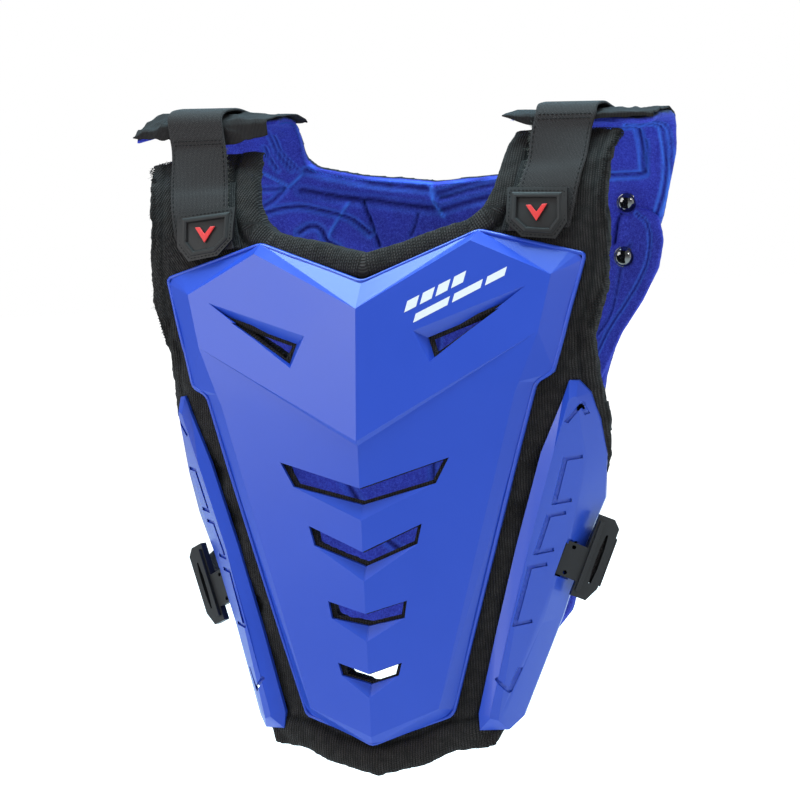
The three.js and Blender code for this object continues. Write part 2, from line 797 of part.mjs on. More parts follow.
// Buckle plate with a tongue in the wing's notch, screw holes and a slot for the strap
function clip(side, sign, grow, ahead = 0) {
  const { matrix, outwards } = clipFrame(side, sign);
  const u = (value) => outwards * value;
  const tongue = clipTongueLength;
  const h = clipHeight / 2 + grow;
  const [low, high] = [-1, 1].map((end) => end * (clipTongueHeight / 2 + grow) - clipTongueDrop);
  const end = tongue + clipWidth + grow;
  const cut = clipCorner;
  const outline = new THREE.Shape([
    new THREE.Vector2(u(-grow), low), new THREE.Vector2(u(tongue - grow), low),
    new THREE.Vector2(u(tongue - grow), -h), new THREE.Vector2(u(end - cut), -h),
    new THREE.Vector2(u(end), -h + cut * 2), new THREE.Vector2(u(end), h - cut),
    new THREE.Vector2(u(end - cut), h), new THREE.Vector2(u(tongue - grow), h),
    new THREE.Vector2(u(tongue - grow), high), new THREE.Vector2(u(-grow), high),
  ]);
  const hole = (x, y, wide, tall) => {
    const points = [];
    for (let k = 0; k < clipHoleSides; k += 1) {
      const angle = ((k + 0.5) / clipHoleSides) * Math.PI * 2;
      points.push(new THREE.Vector2(u(x) + (Math.cos(angle) * wide) / 2, y + (Math.sin(angle) * tall) / 2));
    }
    return new THREE.Path(points);
  };
  if (grow === 0) {
    const screwY = clipTongueHeight / 2 - clipScrewDiameter;
    const screwX = tongue * clipScrewPlace;
    for (const y of [screwY, -screwY]) {
      outline.holes.push(hole(screwX, y - clipTongueDrop, clipScrewDiameter, clipScrewDiameter));
    }
    outline.holes.push(hole(tongue + clipWidth * clipSlotPlace, 0, clipSlotWidth, sideStrapWidth + clipSlotWidth));
  }
  const depth = clipThickness + 2 * grow + ahead;
  const plate = new THREE.ExtrudeGeometry(outline, { depth, bevelEnabled: false });
  plate.translate(0, 0, -grow);
  const rib = new THREE.BoxGeometry(clipRibWidth, clipHeight - clipRibShort, clipRibHeight * 2);
  rib.translate(u(tongue + clipRibWidth), 0, clipThickness);
  const body = solid(plate.applyMatrix4(matrix));
  return grow === 0 ? body.add(solid(rib.toNonIndexed().applyMatrix4(matrix))) : body;
}

function wingPiece(side, sign) {
  const cuts = [...wingCuts(sign), clip(side, sign, clipNotchMargin, clipNotchDepth)];
  return cuts.reduce((body, cut) => body.subtract(cut), wing(sign));
}

// Chest pad: one padded panel from the hem to the shoulder tabs
const chestPadFace = (x, z) => chestY(x, z) + shellWall + clearance;

function chestLiner() {
  const half = chestLinerOutline.map(({ across, down }) => [across * chestLinerHalfWidth, -down * vestHeight]);
  const body = panel(
    bothSides(fill(half, longestEdge)),
    ([x, z]) => new THREE.Vector3(x, chestPadFace(x, z), z),
    ([x, z]) => new THREE.Vector3(x, chestPadFace(x, z) + chestPad(z), z),
  );
  const holes = [
    ...allSides((sign) => windowCutters(sign, ventMargin).hole),
    ...allSides((sign) => chevrons.map((row) => chevronCutters(row, sign, ventMargin).slot)),
  ];
  const rooms = [
    frontShellRoom(),
    ...sides.map(({ sign }) => wingRoom(sign)),
    ...sides.map(({ name, sign }) => clip(name, sign, clearance)),
    ...sides.map(({ sign }) => hookTape(sign, clearance)),
    ...sides.map(({ sign }) => shoulderStrap(sign, clearance)),
  ];
  return [...holes, ...rooms].reduce((pad, cut) => pad.subtract(cut), body);
}

// Thickness of the chest pad, thin at the shoulder ends
function chestPad(z) {
  const share = THREE.MathUtils.smoothstep(-z / vestHeight, 0.0, 0.12);
  return THREE.MathUtils.lerp(tabThickness + tabHem, chestPadThickness, share);
}

// Rectangle across a strap: its two edges, front and back
const strip = (a, b, normal, low, high) => [
  a.clone().addScaledVector(normal, low),
  b.clone().addScaledVector(normal, low),
  b.clone().addScaledVector(normal, high),
  a.clone().addScaledVector(normal, high),
];

// The back hangs rolled about y: height that this adds at a place across
const rollDrop = (x) => -x * Math.tan(THREE.MathUtils.degToRad(backRoll));
const forwards = new THREE.Vector3(0, -1, 0);

// Strip of tape on the chest under the shoulder strap
function hookTape(sign, grow) {
  const loops = strapLowRows.map((down, k) => {
    const z = -down * vestHeight + (k === 0 ? -grow : 0);
    const centre = strapCentreAt(k) - tapeShift;
    const [inner, outer] = [centre - tapeWidth / 2 - grow, centre + tapeWidth / 2 + grow];
    const at = (x) => new THREE.Vector3(sign * x, chestPadFace(x, z) - clearance, z);
    return strip(at(inner), at(outer), forwards, -grow, tapeThickness + grow);
  });
  return loft(loops);
}

function strapCentreAt(k) {
  const rows = strapLowRows.length + strapHighRows.length - 1;
  return THREE.MathUtils.lerp(strapCentreLow, strapCentreHigh, Math.min((k / rows) * 1.6, 1));
}

// Webbing strap from the patch on the chest, over the shoulder, onto the back's tab
function shoulderStrap(sign, grow) {
  const loops = [];
  strapLowRows.forEach((down, k) => {
    const z = -down * vestHeight;
    const centre = strapCentreAt(k);
    const at = (x) => new THREE.Vector3(sign * x, chestPadFace(x, z) - 2 * clearance - tapeThickness, z);
    const [inner, outer] = [centre - strapWidth / 2 - grow, centre + strapWidth / 2 + grow];
    loops.push(strip(at(inner), at(outer), forwards, -grow, strapThickness + grow));
  });
  const path = strapHighRows.map(({ reach, rise }) => new THREE.Vector2(reach * strapReach, rise * strapRise));
  path.forEach((place, k) => {
    const centre = strapCentreAt(strapLowRows.length + k);
    const before = path[Math.max(k - 1, 0)];
    const after = path[Math.min(k + 1, path.length - 1)];
    const along = after.clone().sub(before).normalize();
    const normal = new THREE.Vector3(0, -along.y, along.x);
    const blend = Math.min((k + 1) / 3, 1);
    const at = (x) => new THREE.Vector3(sign * x, place.x, place.y + blend * rollDrop(sign * x));
    const [inner, outer] = [centre - strapWidth / 2 - grow, centre + strapWidth / 2 + grow];
    loops.push(strip(at(inner), at(outer), normal, -grow, strapThickness + grow));
  });
  const strap = loft(loops);
  return grow === 0 ? strap.subtract(hookTape(sign, clearance)) : strap;
}

// Patch at the lower end of a strap, standing on it, with a sunken window
const patchOutline = [
  { across: -0.5, up: 0.42 },
  { across: 0.5, up: 0.5 },
  { across: 0.5, up: -0.12 },
  { across: 0.24, up: -0.42 },
  { across: -0.3, up: -0.5 },
  { across: -0.5, up: -0.2 },
];

function patchPlace(sign, [x, z], height) {
  const y = chestPadFace(x, z) - 3 * clearance - tapeThickness - strapThickness - height;
  return new THREE.Vector3(sign * x, y, z);
}

function patchLoop(shrink) {
  const centre = [strapCentreAt(0), -patchDown * vestHeight];
  return patchOutline.map(({ across, up }) => [
    centre[0] - across * (patchWidth - 2 * shrink),
    centre[1] + up * (patchHeight - 2 * shrink),
  ]);
}

function patch(sign) {
  const layer = (shrink, low, high) => panel(
    fill(patchLoop(shrink), patchEdge),
    (p) => patchPlace(sign, p, high),
    (p) => patchPlace(sign, p, low),
  );
  const window = layer(bezelWidth, patchThickness - bezelDepth, patchThickness + far);
  const rooms = [window, shoulderStrap(sign, clearance), hookTape(sign, clearance)];
  return rooms.reduce((body, room) => body.subtract(room), layer(0, 0, patchThickness));
}

// Raised chevron in the patch's window
function emblem(sign) {
  const [x, z] = [strapCentreAt(0), -patchDown * vestHeight];
  const [w, h] = [emblemSpan / 2, emblemHeight / 2];
  const loop = [
    [x - w, z + h], [x - w + emblemArm * 0.7, z + h], [x, z - h + emblemArm * 1.2],
    [x + w - emblemArm * 0.7, z + h], [x + w, z + h], [x, z - h],
  ];
  const floor = patchThickness - bezelDepth + 2 * clearance;
  const half = (points) => {
    const at = (height) => points.map((p) => patchPlace(sign, p, height));
    return loft([at(floor), at(floor + emblemThickness)]);
  };
  return half([loop[0], loop[1], loop[2], loop[5]]).add(half([loop[2], loop[3], loop[4], loop[5]]));
}

// Elastic side strap from the clip's slot round to the back pad
function sideStrap(side, sign) {
  const { matrix, outwards } = clipFrame(side, sign);
  const start = clipTongueLength + clipWidth * clipSlotPlace;
  const local = (u, v, w) => new THREE.Vector3(outwards * u, v, w).applyMatrix4(matrix);
  const half = sideStrapWidth / 2;
  const z = clipZ(side);
  const low = -sideStrapThickness - clearance;
  const [tucked, led] = [start + sideStrapTuck, start + sideStrapTuck + sideStrapLead];
  const first = [start - sideStrapTuck, tucked, led].map((u) => [
    local(u, -half, low), local(u, half, low),
    local(u, half, -clearance), local(u, -half, -clearance),
  ]);
  const row = sideStrapRow;
  const roll = THREE.MathUtils.degToRad(backRoll);
  const turned = (v) => v.applyAxisAngle(new THREE.Vector3(0, 1, 0), roll).setX(v.x + backShift);
  const rowLength = backPoint(0, row + 0.5, 0).distanceTo(backPoint(0, row - 0.5, 0));
  const spread = half / rowLength;
  const backLoop = (x) => {
    const at = (r, h) => turned(backPoint(sign * x, r, backPad(row) + clearance + h));
    const [lower, upper, high] = [row + spread, row - spread, sideStrapThickness];
    return [at(lower, 0), at(upper, 0), at(upper, high), at(lower, high)];
  };
  const edge = backEdgeX(row);
  const last = [sideStrapTuck, -sideStrapTuck, -sideStrapHold].map((by) => backLoop(edge + by));
  const [from, to] = [first[2], last[0]];
  const mid = (loop, a, b) => loop[a].clone().add(loop[b]).multiplyScalar(0.5);
  const run = mid(to, 0, 2).sub(mid(from, 0, 2));
  const outwardsHere = new THREE.Vector3(run.y, -run.x, 0).multiplyScalar(sign).normalize();
  const bends = sideStrapBends.map((share) => {
    const lower = mid(from, 0, 3).lerp(mid(to, 0, 3), share);
    const upper = mid(from, 1, 2).lerp(mid(to, 1, 2), share);
    return strip(lower, upper, outwardsHere, -sideStrapThickness / 2, sideStrapThickness / 2);
  });
  return loft([...first, ...bends, ...last]);
}

const backEdgeX = (row) => between(backLinerOutline.slice(14, 21), 'row', row, 'across') * backHalfWidth;

// Back pieces, laid out by share across and row
const backPlaces = (rows) => rows.map(({ across, row }) => [across * backHalfWidth, row * rowScale]);

function backPanel(triangles, sign, low, high) {
  return panel(
    triangles,
    ([x, v]) => backPoint(sign * x, v / rowScale, high(v / rowScale)),
    ([x, v]) => backPoint(sign * x, v / rowScale, low(v / rowScale)),
  );
}

// Straight pin through the pads at a rivet
function rivetAxis(sign, row) {
  const at = (height) => backPoint(sign * rivetAcross * backHalfWidth, row, height);
  const [base, tip] = [at(0), at(1)];
  return { base, outwards: tip.sub(base).normalize() };
}

function cylinderAlong(sign, row, radius, from, to, topRadius = radius) {
  const { base, outwards } = rivetAxis(sign, row);
  const shaft = new THREE.CylinderGeometry(topRadius, radius, to - from, rivetSides);
  shaft.translate(0, (from + to) / 2, 0);
  const turn = new THREE.Quaternion().setFromUnitVectors(new THREE.Vector3(0, 1, 0), outwards);
  shaft.applyQuaternion(turn);
  shaft.translate(base.x, base.y, base.z);
  return solid(shaft);
}

const rivetHole = (sign, row) => cylinderAlong(sign, row, rivetShankDiameter / 2 + clearance, -far / 6, far / 6);

// Rivet with a domed head inside and a flat tail outside
function rivet(sign, row, under) {
  const inner = -under - clearance;
  const outer = backPadThickness + clearance + shellWall + backShellGap + clearance;
  const head = rivetHeadDiameter / 2;
  const steps = rivetDomeSteps;
  const parts = [cylinderAlong(sign, row, rivetShankDiameter / 2, inner - 0.5, outer + 0.5)];
  for (let k = 0; k < steps; k += 1) {
    const angle = (share) => (share * Math.PI) / 2;
    const depth = (share) => Math.sin(angle(share)) * rivetHeadHeight;
    const width = (share) => Math.max(Math.cos(angle(share)) * head, rivetDomeFlat);
    const [a, b] = [k / steps, (k + 1) / steps];
    parts.push(cylinderAlong(sign, row, width(b), inner - depth(b), inner - depth(a), width(a)));
  }
  parts.push(cylinderAlong(sign, row, rivetTailDiameter / 2, outer, outer + rivetTailHeight));
  return parts.reduce((body, part) => body.add(part));
}

// Room of a rivet's head in the pad under it, and of its tail in the outside plate
function headRoom(sign, row, under) {
  return cylinderAlong(sign, row, rivetHeadDiameter / 2 + clearance, -far / 6, -under);
}

function tailRoom(sign, row) {
  const from = backPadThickness + clearance + shellWall + backShellGap;
  return cylinderAlong(sign, row, rivetTailDiameter / 2 + clearance, from, far / 6);
}

// Space of the back pad with its clearance
function backLinerRoom() {
  const outline = bothSides(fill(backPlaces(backLinerOutline), longestEdge));
  return backPanel(outline, 1, () => -clearance, (row) => backPad(row) + clearance);
}

const flapLow = () => -clearance - flapThickness;

function flap(sign) {
  const pad = backPanel(fill(backPlaces(flapOutline), longestEdge), sign, flapLow, () => -clearance);
  const upperHead = cylinderAlong(sign, rivetRows.upper, rivetHeadDiameter / 2 + clearance, -far / 10, 1);
  const cuts = [
    rivetHole(sign, rivetRows.lower),
    headRoom(sign, rivetRows.lower, flapThickness + clearance),
    upperHead,
    backLinerRoom(),
  ];
  return cuts.reduce((body, cut) => body.subtract(cut), pad);
}

function backLiner() {
  const outline = backPlaces(backLinerOutline);
  const body = backPanel(bothSides(fill(outline, longestEdge)), 1, () => 0, backPad);
  const holes = allSides((sign) => Object.values(rivetRows).map((row) => rivetHole(sign, row)));
  const heads = allSides((sign) => [headRoom(sign, rivetRows.upper, 0)]);
  return [...holes, ...heads].reduce((pad, hole) => pad.subtract(hole), body);
}

// Outside plate of the back: a rim and a raised field with a ridge
function backShell() {
  const outline = backPlaces(backShellOutline);
  const inset = backShellOutline.map(({ across, row }) => {
    const inwards = across === 0 ? 0 : fieldInset;
    const top = row < fieldTopEnd;
    const shift = top ? fieldTopRows : fieldFootRows;
    return [(across - inwards) * backHalfWidth, (row + (top || across < fieldNarrow ? shift : 0)) * rowScale];
  });
  const triangles = [];
  outline.slice(0, -1).forEach((point, k) => {
    triangles.push([[...point, 0], [...outline[k + 1], 0], [...inset[k], 1]]);
    triangles.push([[...outline[k + 1], 0], [...inset[k + 1], 1], [...inset[k], 1]]);
  });
  triangles.push(...fill(inset, longestEdge * 2).map((t) => t.map((p) => [...p, 1])));
  const rise = (p) => (p[2] ? backPlateRise : 0);
  const base = (p) => backPad(p[1] / rowScale) + clearance + backShellGap;
  const body = panel(
    bothSides(triangles),
    (p) => backPoint(p[0], p[1] / rowScale, base(p) + rise(p) + shellWall),
    (p) => backPoint(p[0], p[1] / rowScale, base(p) + rise(p)),
  );
  const holes = allSides((sign) => Object.values(rivetRows).map((row) => rivetHole(sign, row)));
  const tails = allSides((sign) => Object.values(rivetRows).map((row) => tailRoom(sign, row)));
  return [...holes, ...tails, backLinerRoom()].reduce((plate, cut) => plate.subtract(cut), body);
}

const front = new THREE.Group();
front.add(piece('front_shell', frontShell(), shellMaterial));
front.add(piece('front_liner', chestLiner(), fabricMaterial));
for (const { name, sign } of sides) {
  front.add(piece(`wing_${name}`, wingPiece(name, sign), shellMaterial));
  front.add(piece(`clip_${name}`, clip(name, sign, 0), clipMaterial));
  front.add(piece(`hook_tape_${name}`, hookTape(sign, 0), strapMaterial));
  front.add(piece(`shoulder_strap_${name}`, shoulderStrap(sign, 0), strapMaterial));
  front.add(piece(`patch_${name}`, patch(sign), rubberMaterial));
  front.add(piece(`emblem_${name}`, emblem(sign), emblemMaterial));
  front.add(piece(`side_strap_${name}`, sideStrap(name, sign), strapMaterial));
}

const back = new THREE.Group();
back.rotation.y = THREE.MathUtils.degToRad(backRoll);
back.position.x = backShift;
back.add(piece('back_liner', backLiner(), fleeceMaterial));
back.add(piece('back_shell', backShell(), shellMaterial));
for (const { name, sign } of sides) {
  back.add(piece(`flap_${name}`, flap(sign), fleeceMaterial));
  back.add(piece(`rivet_${name}_upper`, rivet(sign, rivetRows.upper, 0), rivetMaterial));
  back.add(piece(`rivet_${name}_lower`, rivet(sign, rivetRows.lower, flapThickness + clearance), rivetMaterial));
}

const vest = new THREE.Group();
vest.add(front, back);
export default vest;
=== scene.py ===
import math

import bpy
import numpy as np
from mathutils import Matrix, Vector
from mathutils.bvhtree import BVHTree
from mathutils.kdtree import KDTree


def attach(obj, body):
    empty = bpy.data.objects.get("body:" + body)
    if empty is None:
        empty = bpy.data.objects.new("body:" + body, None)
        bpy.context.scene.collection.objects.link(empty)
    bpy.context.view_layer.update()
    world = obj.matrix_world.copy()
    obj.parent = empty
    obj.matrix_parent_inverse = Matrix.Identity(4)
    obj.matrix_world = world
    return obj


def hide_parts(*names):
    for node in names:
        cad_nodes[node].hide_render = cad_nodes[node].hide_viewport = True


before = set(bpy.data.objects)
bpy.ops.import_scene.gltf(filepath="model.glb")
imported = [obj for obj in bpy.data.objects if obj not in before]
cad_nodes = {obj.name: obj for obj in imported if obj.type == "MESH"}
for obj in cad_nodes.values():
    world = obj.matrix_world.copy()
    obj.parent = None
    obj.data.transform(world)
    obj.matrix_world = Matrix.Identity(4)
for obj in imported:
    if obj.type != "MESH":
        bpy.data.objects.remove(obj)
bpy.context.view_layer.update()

MM = 0.001
SIDES = (("left", -1), ("right", 1))

# Camera of the photograph
camera_azimuth = 18.0
camera_elevation = 6.0
camera_roll = 4.2
camera_distance = 1500.0
camera_target = (-5.0, 0.0, -190.0)
lens_mm = 93.76
sensor_mm = 36.0
floor_height = -640.0

# Sizes of the part that the pieces are fitted to
vest_height = 430.0
chest_depth = 120.0
side_half_width = 154.0
back_depth = 111.0
back_half_width = 192.0
plate_half_width = 152.0
shell_wall = 3.0
pad_gap = 0.3
back_roll = math.radians(3.5)
back_shift = 4.0
bend_slope = 1.2
bend_radius = 12.0
liner_half_width = 174.0
rivet_across = 0.79
rivet_rows = (("upper", 7.55, 0.0), ("lower", 8.7, 8.3))
back_pad_thickness, tab_thickness = 12.0, 5.0
tab_start, tab_span = 0.45, 0.545
weld_distance = 0.02

# Straps, tape and patches
strap_low, strap_high, strap_last = 120.0, 136.0, 14
strap_width, strap_thickness = 42.0, 2.2
strap_rise, strap_reach = 17.0, 48.0
tape_width, tape_thickness, tape_shift = 44.0, 1.4, 4.0
patch_width, patch_height, patch_down = 42.0, 36.0, 0.142
cross_stitch_height = 1.0
strap_low_rows = (0.168, 0.154, 0.14, 0.12, 0.1, 0.08, 0.06)
strap_high_rows = (
    (-0.58, -0.35), (-0.54, 0.235), (-0.51, 0.68), (-0.385, 0.94), (-0.167, 1.05), (0.21, 1.09),
    (0.625, 0.95), (1.0, 0.82),
)
patch_rows = ((-0.5, 0.42), (0.5, 0.5), (0.5, -0.12), (0.24, -0.42), (-0.3, -0.5), (-0.5, -0.2))

# Edges of the chest pad, as shares across and down
neck_rows = (
    (0.0, 0.188), (0.25, 0.163), (0.4, 0.146), (0.462, 0.128), (0.495, 0.1), (0.51, 0.06), (0.54, 0.012),
)
hem_rows = ((0.0, 1.003), (0.2, 0.985), (0.3, 0.967), (0.45, 0.962), (0.505, 0.925))
tab_rows = ((0.54, 0.012), (0.78, 0.0125), (0.995, 0.022))
side_rows = (
    (0.995, 0.022), (0.968, 0.06), (0.952, 0.12), (0.956, 0.19), (0.94, 0.26), (0.88, 0.34), (0.888, 0.4),
    (0.902, 0.47), (0.89, 0.53), (0.8, 0.65), (0.61, 0.83), (0.505, 0.925),
)

# Rim of the chest plate, and the bars of the print: left, right, foot and height
plate_rim_rows = (
    (0.0, 0.23), (0.52, 0.1616), (1.0, 0.209), (0.855, 0.3874), (0.78, 0.401), (0.347, 0.912), (0.0, 0.95),
)
plate_tip, plate_tip_rise = 0.95, 6.0
window_rows = ((0.635, 0.283), (0.308, 0.323), (0.342, 0.352))

# Chevron slots: end and its height, lower end and its height, middle of the top and bottom
chevron_rows = (
    (0.395, 0.507, 0.333, 0.546, 0.548, 0.576), (0.264, 0.607, 0.241, 0.638, 0.647, 0.672),
    (0.184, 0.725, 0.17, 0.752, 0.743, 0.765), (0.149, 0.821, 0.133, 0.841, 0.837, 0.856),
)
field_point = (35.0, -102.3808, -160.0)
field_facing = (0.14399, -0.96719, 0.20932)
print_climb, print_lean = math.radians(24), 0.35
print_front, print_back = 0.12, -0.2
print_bars = (
    (33.0, 41.0, -121.0, 6.5), (43.5, 51.5, -116.3, 6.5), (54.0, 62.0, -111.7, 6.5), (64.5, 72.5, -107.0, 6.5),
    (39.0, 62.0, -128.0, 5.0), (65.0, 84.0, -116.4, 5.0), (87.0, 100.0, -106.6, 5.0),
)

# Curve of the chest: down as a share of the height, forward as a share of the depth
chest_rows = np.array([
    (-0.06, -0.55, -0.2), (0.0, -0.17, -0.2), (0.0116, -0.117, -0.2), (0.035, 0.058, -0.16),
    (0.07, 0.225, -0.12), (0.105, 0.35, -0.08), (0.14, 0.46, -0.02), (0.186, 0.6, 0.08),
    (0.23, 0.671, 0.11), (0.302, 0.75, 0.115), (0.386, 0.833, 0.115), (0.512, 0.892, 0.115),
    (0.651, 0.933, 0.115), (0.79, 0.967, 0.115), (0.9, 0.985, 0.115), (1.05, 1.12, 0.115),
])
bend_rows = np.array([
    (0.28, 1.25), (0.33, 0.97), (0.4, 0.895), (0.51, 0.785), (0.651, 0.66), (0.85, 0.53), (1.05, 0.53),
])

# Path over the shoulder and down the back: back as a share of the depth, up as a share of
# the height, curl as the share that the sides come forward
back_rows = np.array([
    (-0.18, 0.012, 0.0), (0.0, 0.017, 0.0), (0.18, 0.0205, 0.0), (0.36, 0.021, 0.0), (0.51, 0.0135, 0.0),
    (0.67, -0.009, 0.08), (0.8, -0.045, 0.16), (0.89, -0.0905, 0.22), (0.95, -0.147, 0.3),
    (0.985, -0.237, 0.42), (0.97, -0.372, 0.6), (0.86, -0.558, 0.72), (0.72, -0.72, 0.76), (0.5, -0.93, 0.76),
])

# Neck edge of the back: across in millimetres, and row
back_neck_rows = (
    (87.0, 1.2), (92.0, 3.0), (97.0, 5.0), (98.0, 6.1), (90.0, 6.45), (58.0, 6.75), (20.0, 6.93), (0.0, 7.0),
)

# Channels and creases of the fleece: depth, width, strength of the painted highlight beside each, and the line
# across and in rows
back_lines = (
    (1.6, 2.6, 0.45, ((-98, 6.38), (-72, 6.65), (-45, 6.9), (-3, 7.12))),
    (2.2, 3.4, 0.2, ((-104, 7.12), (-74, 7.33), (-46, 7.45), (-19, 7.62), (2, 7.7))),
    (1.4, 2.4, 0.35, ((4, 7.23), (25, 7.0), (51, 6.7), (90, 6.5))),
    (1.6, 2.4, 0.2, ((5, 7.4), (45, 7.0), (95, 6.8))),
    (1.8, 2.8, 0.3, ((5, 7.75), (41, 7.38), (95, 7.1))),
    (-1.8, 2.2, 0.95, ((-2, 7.08), (0, 7.4), (3, 7.7), (8, 7.95))),
    (2.2, 2.2, 0.5, ((-136, 7.85), (-120, 7.68), (-105, 7.62), (-86, 7.78), (-67, 8.0), (-51, 8.33))),
    (2.4, 2.4, 0.4, ((-107, 8.28), (-98, 8.15), (-90, 8.22), (-86, 8.45), (-76, 8.6))),
    (3.2, 1.8, 0.1, ((-56, 7.5), (-51, 8.08), (-45, 8.6))),
    (-1.6, 1.8, 0.85, ((-67, 7.5), (-74, 7.88), (-83, 8.28), (-84, 8.45))),
    (2.0, 1.6, 0.1, ((-13, 7.85), (-16, 8.12), (-20, 8.35))),
    (1.4, 1.6, 0.4, ((-115, 4.58), (-113, 5.62), (-103, 6.4))),
    (1.4, 1.6, 0.5, ((-126, 5.25), (-123, 5.95), (-119, 6.38))),
    (1.4, 1.6, 0.4, ((-118, 4.0), (-117, 5.53), (-108, 6.4))),
    (-1.6, 1.8, 0.9, ((-136, 6.28), (-127, 6.53), (-112, 6.95))),
    (-1.6, 1.8, 0.9, ((-112, 6.95), (-99, 6.4))),
    (1.8, 2.0, 0.4, ((-137, 7.08), (-114, 7.03))),
    (1.8, 2.0, 0.4, ((-137, 7.68), (-125, 7.4), (-116, 7.03))),
    (1.6, 1.8, 0.8, ((157, 3.98), (179, 4.25), (182, 5.25), (182, 6.4), (179, 7.33), (173, 8.05))),
    (1.4, 1.4, 0.6, ((164, 3.48), (183, 4.1), (186, 5.25), (186, 6.55), (183, 7.45), (177, 8.12))),
    (2.0, 2.2, 0.7, ((147, 4.35), (162, 4.35), (165, 5.15), (165, 6.4), (164, 6.6), (138, 6.68))),
    (1.4, 1.6, 0.4, ((169, 5.15), (167, 6.6))),
    (2.4, 3.0, 0.2, ((-150, 8.2), (-120, 9.6), (-80, 11.0), (-40, 11.9), (0, 12.2))),
    (2.4, 3.0, 0.2, ((150, 8.2), (120, 9.6), (80, 11.0), (40, 11.9), (0, 12.2))),
    (2.0, 2.6, 0.2, ((0, 8.4), (0, 12.0))),
)
flap_lines = (
    (1.3, 1.2, 0.5, ((162, 7.83), (171, 8.12), (174, 8.47), (171, 9.0), (158, 9.4), (143, 9.8), (127, 10.3))),
    (1.4, 1.3, 0.15, ((159, 8.5), (154, 8.75), (152, 9.0), (146, 9.55), (134, 9.85))),
    (4.0, 1.7, 0.0, ((151, 7.7), (148, 8.12), (146, 8.5))),
)


def chest_y(x, z):
    """Forward face of the chest, in millimetres."""
    down = -np.asarray(z, float) / vest_height
    x = np.abs(np.asarray(x, float))
    centre = -np.interp(down, chest_rows[:, 0], chest_rows[:, 1]) * chest_depth
    slope = np.interp(down, chest_rows[:, 0], chest_rows[:, 2])
    past = x - np.interp(down, bend_rows[:, 0], bend_rows[:, 1]) * side_half_width
    return centre + slope * x + bend_slope * (past + np.hypot(past, bend_radius)) / 2


def pad_face(x, z):
    """Face of the chest pad, behind the plate."""
    return chest_y(x, z) + shell_wall + pad_gap


def back_point(x, row, height):
    """A point of the back at a row of its table, lifted outwards by a height."""
    x, row, height = np.broadcast_arrays(*(np.asarray(v, float) for v in (x, row, height)))

    def at(rows, column):
        return np.interp(rows, np.arange(len(back_rows)), back_rows[:, column])

    y, z = at(row, 0) * back_depth, at(row, 1) * vest_height
    dy = (at(row + 0.5, 0) - at(row - 0.5, 0)) * back_depth
    dz = (at(row + 0.5, 1) - at(row - 0.5, 1)) * vest_height
    length = np.hypot(dy, dz)
    dy, dz = dy / length, dz / length
    forward = at(row, 2) * back_depth * (x / back_half_width) ** 2
    y = y - forward - dz * height
    z = z + dy * height
    c, s = math.cos(back_roll), math.sin(back_roll)
    return np.stack([c * x + s * z + back_shift, y, c * z - s * x], axis=-1)


# Node trees

class Tree:
    """Short words for placing and joining shader nodes."""

    def __init__(self, tree):
        self.tree = tree
        self.column = 0

    def add(self, kind, **settings):
        node = self.tree.nodes.new(kind)
        node.location = (self.column * 190, -260 * (len(self.tree.nodes) % 4))
        self.column += 1
        for key, value in settings.items():
            setattr(node, key, value)
        return node

    def join(self, source, target):
        self.tree.links.new(source, target)

    def put(self, socket, value):
        if isinstance(value, bpy.types.NodeSocket):
            self.join(value, socket)
        elif value is not None:
            socket.default_value = value

    def math(self, operation, *values, clamp=False):
        node = self.add("ShaderNodeMath", operation=operation, use_clamp=clamp)
        for socket, value in zip(node.inputs, values):
            self.put(socket, value)
        return node.outputs[0]

    def vector(self, operation, *values):
        node = self.add("ShaderNodeVectorMath", operation=operation)
        for socket, value in zip(node.inputs, values):
            self.put(socket, value)
        return node.outputs[1 if operation in ("DOT_PRODUCT", "LENGTH") else 0]

    def noise(self, vector, scale, detail=3.0, roughness=0.55):
        node = self.add("ShaderNodeTexNoise")
        self.put(node.inputs["Vector"], vector)
        self.put(node.inputs["Scale"], scale)
        self.put(node.inputs["Detail"], detail)
        self.put(node.inputs["Roughness"], roughness)
        return node.outputs["Fac"]

    def spread(self, value, low, high, to_low=0.0, to_high=1.0):
        node = self.add("ShaderNodeMapRange")
        for socket, number in zip(node.inputs, (value, low, high, to_low, to_high)):
            self.put(socket, number)
        return node.outputs[0]

    def blend(self, share, first, second):
        node = self.add("ShaderNodeMix", data_type="RGBA")
        self.put(node.inputs["Factor"], share)
        self.put(node.inputs[6], first)
        self.put(node.inputs[7], second)
        return node.outputs[2]

    def bump(self, height, distance, strength=1.0, normal=None):
        node = self.add("ShaderNodeBump")
        self.put(node.inputs["Height"], height)
        self.put(node.inputs["Distance"], distance)
        self.put(node.inputs["Strength"], strength)
        if normal is not None:
            self.put(node.inputs["Normal"], normal)
        return node.outputs["Normal"]

    def group(self, tree, **values):
        node = self.add("ShaderNodeGroup")
        node.node_tree = tree
        for name, value in values.items():
            self.put(node.inputs[name.replace("_", " ")], value)
        return node.outputs


def effect(name, inputs, outputs):
    """A shared effect with named inputs and outputs, ready to be filled."""
    tree = bpy.data.node_groups.new(name, "ShaderNodeTree")
    for label, kind, value in inputs:
        socket = tree.interface.new_socket(label, in_out="INPUT", socket_type="NodeSocket" + kind)
        if value is not None:
            socket.default_value = value
    for label, kind in outputs:
        tree.interface.new_socket(label, in_out="OUTPUT", socket_type="NodeSocket" + kind)
    maker = Tree(tree)
    return tree, maker, maker.add("NodeGroupInput").outputs, maker.add("NodeGroupOutput").inputs


